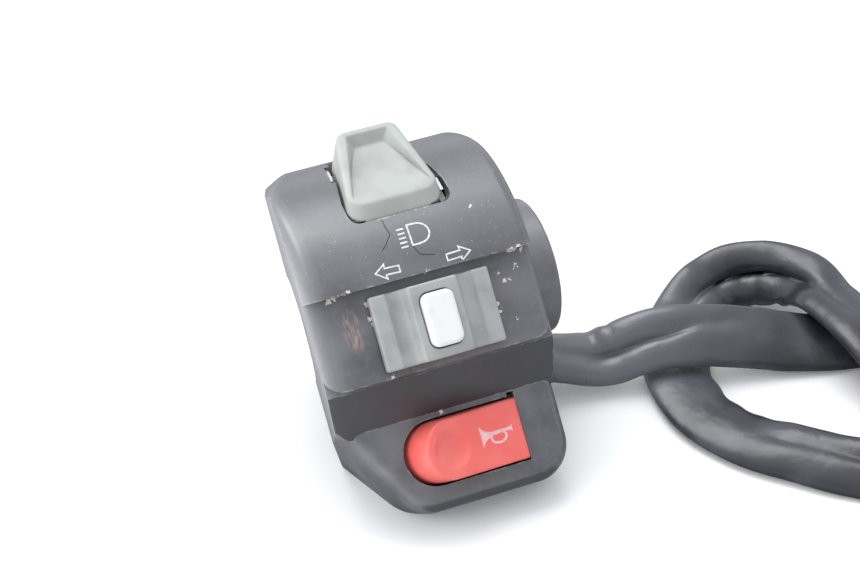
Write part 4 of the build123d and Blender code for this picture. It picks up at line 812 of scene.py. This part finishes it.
def grown(name, group, values):
    """The mesh a node group makes, as a plain object."""
    seed = bpy.data.objects.new(name, bpy.data.meshes.new(name))
    bpy.context.scene.collection.objects.link(seed)
    maker = seed.modifiers.new("maker", "NODES")
    maker.node_group = group
    for socket in group.interface.items_tree:
        if socket.name in values:
            maker[socket.identifier] = values[socket.name]
    bpy.context.view_layer.update()
    ready = seed.evaluated_get(bpy.context.evaluated_depsgraph_get())
    mesh = bpy.data.meshes.new_from_object(ready)
    bpy.data.objects.remove(seed)
    piece = bpy.data.objects.new(name, mesh)
    bpy.context.scene.collection.objects.link(piece)
    return piece


first_bar = Vector((beam_first[0] / 1000, 0.0, 0.0)) + up_face * (beam_first[1] / 1000)
beam_lines = grown("beam_lines", bars, {
    "Surface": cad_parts["rear_shell"],
    "First": first_bar + out_of_face * 0.08,
    "Step": Vector((beam_step[0] / 1000, 0.0, 0.0)) + up_face * (beam_step[1] / 1000),
    "Count": 5,
    "Bar": beam_bar,
    "Inward": -out_of_face,
    "Ink": print_white,
})
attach(beam_lines, "casing")

# Cracks. Two hairlines in the paint below the rocker, dark where the metal has
# tarnished through them.
crack_lines = [
    [
        (-4.05, 16.94), (-3.95, 16.0), (-4.0, 15.2), (-3.7, 14.2), (-3.63, 13.35), (-4.3, 12.7),
        (-5.1, 11.7), (-6.36, 10.67),
    ],
    [(-0.16, 10.5), (0.3, 9.3), (0.92, 8.04), (2.3, 7.6), (3.75, 7.3)],
]
crack, tree, shader = new_finish("paint_crack")
coloured(tree, shader, noise_on(tree, 0.001, 4.0), (0.012, 0.012, 0.013), (0.035, 0.033, 0.032))
shader.inputs["Roughness"].default_value = 0.8
for number, line in enumerate(crack_lines):
    crack_mark = ribbon(f"paint_crack_{number + 1}", shell_shape, line, 0.15, False, film=0.00002)
    crack_mark.data.materials.append(crack)
    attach(crack_mark, "casing")

# Dust. Pale specks that have settled on the upper side of the casing, scattered by a
# node group over the faces that look up.
specks = bpy.data.node_groups.new("specks_on_a_surface", "GeometryNodeTree")
specks_in = specks.nodes.new("NodeGroupInput")
for name, kind in (
    ("Surface", "Object"), ("Density", "Float"), ("Seed", "Int"), ("Largest", "Float"),
    ("Upward", "Vector"), ("Lowest", "Float"), ("Dust", "Material"),
):
    specks.interface.new_socket(name, in_out="INPUT", socket_type="NodeSocket" + kind)
specks.interface.new_socket("Geometry", in_out="OUTPUT", socket_type="NodeSocketGeometry")
onto = specks.nodes.new("GeometryNodeObjectInfo")
onto.transform_space = "RELATIVE"
facing = specks.nodes.new("GeometryNodeInputNormal")
upward = specks.nodes.new("ShaderNodeVectorMath")
upward.operation = "DOT_PRODUCT"
faces_up = specks.nodes.new("ShaderNodeMath")
faces_up.operation = "GREATER_THAN"
faces_up.inputs[1].default_value = 0.55
spot = specks.nodes.new("GeometryNodeInputPosition")
spot_height = specks.nodes.new("ShaderNodeSeparateXYZ")
high = specks.nodes.new("ShaderNodeMath")
high.operation = "GREATER_THAN"
both = specks.nodes.new("ShaderNodeMath")
both.operation = "MULTIPLY"
scatter = specks.nodes.new("GeometryNodeDistributePointsOnFaces")
grain = specks.nodes.new("GeometryNodeMeshIcoSphere")
grain.inputs["Radius"].default_value = 1.0
grain.inputs["Subdivisions"].default_value = 1
sizes_of = specks.nodes.new("FunctionNodeRandomValue")
sizes_of.data_type = "FLOAT"
sizes_of.inputs[2].default_value = 0.00003
flatter = specks.nodes.new("ShaderNodeCombineXYZ")
low_grain = specks.nodes.new("ShaderNodeMath")
low_grain.operation = "MULTIPLY"
low_grain.inputs[1].default_value = 0.4
stamp = specks.nodes.new("GeometryNodeInstanceOnPoints")
real = specks.nodes.new("GeometryNodeRealizeInstances")
dusted = specks.nodes.new("GeometryNodeSetMaterial")
specks_out = specks.nodes.new("NodeGroupOutput")
for start, end in (
    (specks_in.outputs["Surface"], onto.inputs["Object"]),
    (facing.outputs["Normal"], upward.inputs[0]),
    (specks_in.outputs["Upward"], upward.inputs[1]),
    (upward.outputs["Value"], faces_up.inputs[0]),
    (spot.outputs["Position"], spot_height.inputs["Vector"]),
    (spot_height.outputs["Z"], high.inputs[0]),
    (specks_in.outputs["Lowest"], high.inputs[1]),
    (faces_up.outputs["Value"], both.inputs[0]),
    (high.outputs["Value"], both.inputs[1]),
    (onto.outputs["Geometry"], scatter.inputs["Mesh"]),
    (both.outputs["Value"], scatter.inputs["Selection"]),
    (specks_in.outputs["Density"], scatter.inputs["Density"]),
    (specks_in.outputs["Seed"], scatter.inputs["Seed"]),
    (specks_in.outputs["Largest"], sizes_of.inputs[3]),
    (specks_in.outputs["Seed"], sizes_of.inputs["Seed"]),
    (sizes_of.outputs[1], flatter.inputs["X"]),
    (sizes_of.outputs[1], flatter.inputs["Y"]),
    (sizes_of.outputs[1], low_grain.inputs[0]),
    (low_grain.outputs["Value"], flatter.inputs["Z"]),
    (scatter.outputs["Points"], stamp.inputs["Points"]),
    (grain.outputs["Mesh"], stamp.inputs["Instance"]),
    (scatter.outputs["Rotation"], stamp.inputs["Rotation"]),
    (flatter.outputs["Vector"], stamp.inputs["Scale"]),
    (stamp.outputs["Instances"], real.inputs["Geometry"]),
    (real.outputs["Geometry"], dusted.inputs["Geometry"]),
    (specks_in.outputs["Dust"], dusted.inputs["Material"]),
    (dusted.outputs["Geometry"], specks_out.inputs["Geometry"]),
):
    specks.links.new(start, end)
dust_pale, tree, shader = new_finish("pale_dust")
coloured(tree, shader, noise_on(tree, 0.002, 3.0), (0.42, 0.41, 0.39), (0.74, 0.72, 0.70))
shader.inputs["Roughness"].default_value = 0.9
dust_specks = grown("dust_specks", specks, {
    "Surface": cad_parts["rear_shell"],
    "Density": 90000.0,
    "Seed": 7,
    "Largest": 0.00011,
    "Upward": (out_of_face + up_face).normalized(),
    "Lowest": 0.022,
    "Dust": dust_pale,
})
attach(dust_specks, "casing")

horn_shape = shape_of("horn_button")
bugle_axis = [
    (5.2, -30.85), (5.6, -30.85), (6.1, -30.84), (6.8, -30.83), (7.8, -30.8), (11.2, -30.7),
    (12.1, -30.75), (12.6, -30.75),
]
bugle_widths = [4.4, 3.2, 2.2, 1.4, 0.85, 0.6, 0.75, 1.5]
loop_place, loop_size = (9.2, -31.75), (1.75, 1.15)
loop_turns = [math.radians(20 * step) for step in range(18)]
loop = [
    (loop_place[0] + loop_size[0] * math.cos(turn), loop_place[1] + loop_size[1] * math.sin(turn))
    for turn in loop_turns
]
print_pink, tree, shader = new_finish("print_pink")
thin_ink = spread(tree, noise_on(tree, 0.0005, 4.0), 0.35, 0.65)
coloured(tree, shader, thin_ink, (0.86, 0.42, 0.46), (0.95, 0.62, 0.66))
shader.inputs["Roughness"].default_value = 0.45
for mark in (
    ribbon("bugle_mark", horn_shape, bugle_axis, 0.6, False, widths=bugle_widths),
    ribbon("bugle_loop_mark", horn_shape, loop, 0.5, True, film=0.00005),
):
    mark.data.materials.append(print_pink)
    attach(mark, "horn_button")


# Dip switch. A dished rocker in warm grey plastic on a steel pin, in a frame of natural
# nylon that shows as white slivers in the gap on both sides.
grey, tree, shader = new_finish("grey_rocker_plastic")
soiled = spread(tree, noise_on(tree, 0.006, 6.0), 0.45, 0.75)
coloured(tree, shader, soiled, (0.46, 0.48, 0.46), (0.38, 0.39, 0.37))
shader.inputs["Roughness"].default_value = 0.42
raised(tree, shader, noise_on(tree, 0.0005, 3.0), 0.000015, soft=0.0008)
coat(grey, "dip_rocker")

white_nylon, tree, shader = new_finish("white_nylon")
coloured(tree, shader, spread(tree, noise_on(tree, 0.004), 0.4, 0.8), (0.86, 0.87, 0.84), (0.70, 0.68, 0.60))
shader.inputs["Roughness"].default_value = 0.4
coat(white_nylon, "dip_cradle")

board, tree, shader = new_finish("brown_board")
fibre = noise_on(tree, 0.0012, 5.0, stretch=(1.0, 6.0, 6.0))
coloured(tree, shader, fibre, (0.20, 0.09, 0.035), (0.34, 0.18, 0.08))
shader.inputs["Roughness"].default_value = 0.55
coat(board, "dip_contact_board", "indicator_base", "horn_base")

black_moulding, tree, shader = new_finish("black_moulding")
coloured(tree, shader, noise_on(tree, 0.002), (0.018, 0.018, 0.019), (0.035, 0.035, 0.036))
shader.inputs["Roughness"].default_value = 0.5
coat(black_moulding, "dip_slider", "indicator_carrier")

brass, tree, shader = new_finish("contact_brass")
tarnish = spread(tree, noise_on(tree, 0.0015), 0.4, 0.7)
coloured(tree, shader, tarnish, (0.78, 0.58, 0.24), (0.42, 0.28, 0.12))
shader.inputs["Metallic"].default_value = 1.0
shader.inputs["Roughness"].default_value = 0.34
coat(brass, "dip_contact_rivets", "indicator_contacts", "horn_fixed_contact", "connector_terminals")

copper, tree, shader = new_finish("contact_copper")
tarnish = spread(tree, noise_on(tree, 0.0015), 0.4, 0.7)
coloured(tree, shader, tarnish, (0.80, 0.42, 0.22), (0.35, 0.17, 0.09))
shader.inputs["Metallic"].default_value = 1.0
shader.inputs["Roughness"].default_value = 0.36
coat(copper, "dip_bridges", "indicator_bridge", "horn_contact_blade")

steel, tree, shader = new_finish("bright_steel")
drawn = noise_on(tree, 0.0008, 3.0)
tree.links.new(spread(tree, drawn, 0.3, 0.7, 0.22, 0.4), shader.inputs["Roughness"])
shader.inputs["Base Color"].default_value = (0.60, 0.60, 0.61, 1.0)
shader.inputs["Metallic"].default_value = 1.0
coat(steel, "dip_pivot_pin", "horn_pivot_pin", "detent_ball")
coat(steel, "cancel_spring", "detent_spring", "horn_spring")

zinc, tree, shader = new_finish("zinc_screw")
dull = spread(tree, noise_on(tree, 0.0012, 6.0), 0.4, 0.7)
coloured(tree, shader, dull, (0.62, 0.58, 0.46), (0.35, 0.31, 0.25))
tree.links.new(spread(tree, dull, 0.0, 1.0, 0.3, 0.55), shader.inputs["Roughness"])
shader.inputs["Metallic"].default_value = 1.0
coat(zinc, "case_screws", "dip_cradle_screws", "indicator_base_screws", "horn_base_screws")


# Turn switch. A grey sliding knob with a finger hollow on each side of its raised
# middle, and a white button in it that cancels the turn signal.
slider_grey, tree, shader = new_finish("grey_knob_plastic")
soiled = spread(tree, noise_on(tree, 0.005, 6.0), 0.45, 0.75)
coloured(tree, shader, soiled, (0.40, 0.405, 0.405), (0.30, 0.30, 0.30))
shader.inputs["Roughness"].default_value = 0.30
shader.inputs["Specular IOR Level"].default_value = 0.6
shader.inputs["Coat Weight"].default_value = 0.5
shader.inputs["Coat Roughness"].default_value = 0.15
raised(tree, shader, noise_on(tree, 0.0005, 3.0), 0.000015, soft=0.0006)
coat(slider_grey, "indicator_knob")

white_cap, tree, shader = new_finish("white_cap_plastic")
soiled = spread(tree, noise_on(tree, 0.003, 6.0), 0.5, 0.8)
coloured(tree, shader, soiled, (0.86, 0.86, 0.855), (0.76, 0.755, 0.735))
shader.inputs["Roughness"].default_value = 0.3
raised(tree, shader, noise_on(tree, 0.0006, 3.0), 0.00001, soft=0.0006)
coat(white_cap, "cancel_button")


# Horn button. Moulded in bright red plastic, tall and dished for the thumb at one end
# and hinged flush at the other.
red, tree, shader = new_finish("red_button_plastic")
faded = spread(tree, noise_on(tree, 0.007, 5.0), 0.4, 0.75)
coloured(tree, shader, faded, (0.96, 0.150, 0.130), (0.97, 0.215, 0.190))
shader.inputs["Roughness"].default_value = 0.33
shader.inputs["Coat Weight"].default_value = 0.5
shader.inputs["Coat Roughness"].default_value = 0.16
shader.inputs["Subsurface Weight"].default_value = 0.1
shader.inputs["Subsurface Scale"].default_value = 0.001
raised(tree, shader, noise_on(tree, 0.0006, 3.0), 0.000015, soft=0.0009)
coat(red, "horn_button")
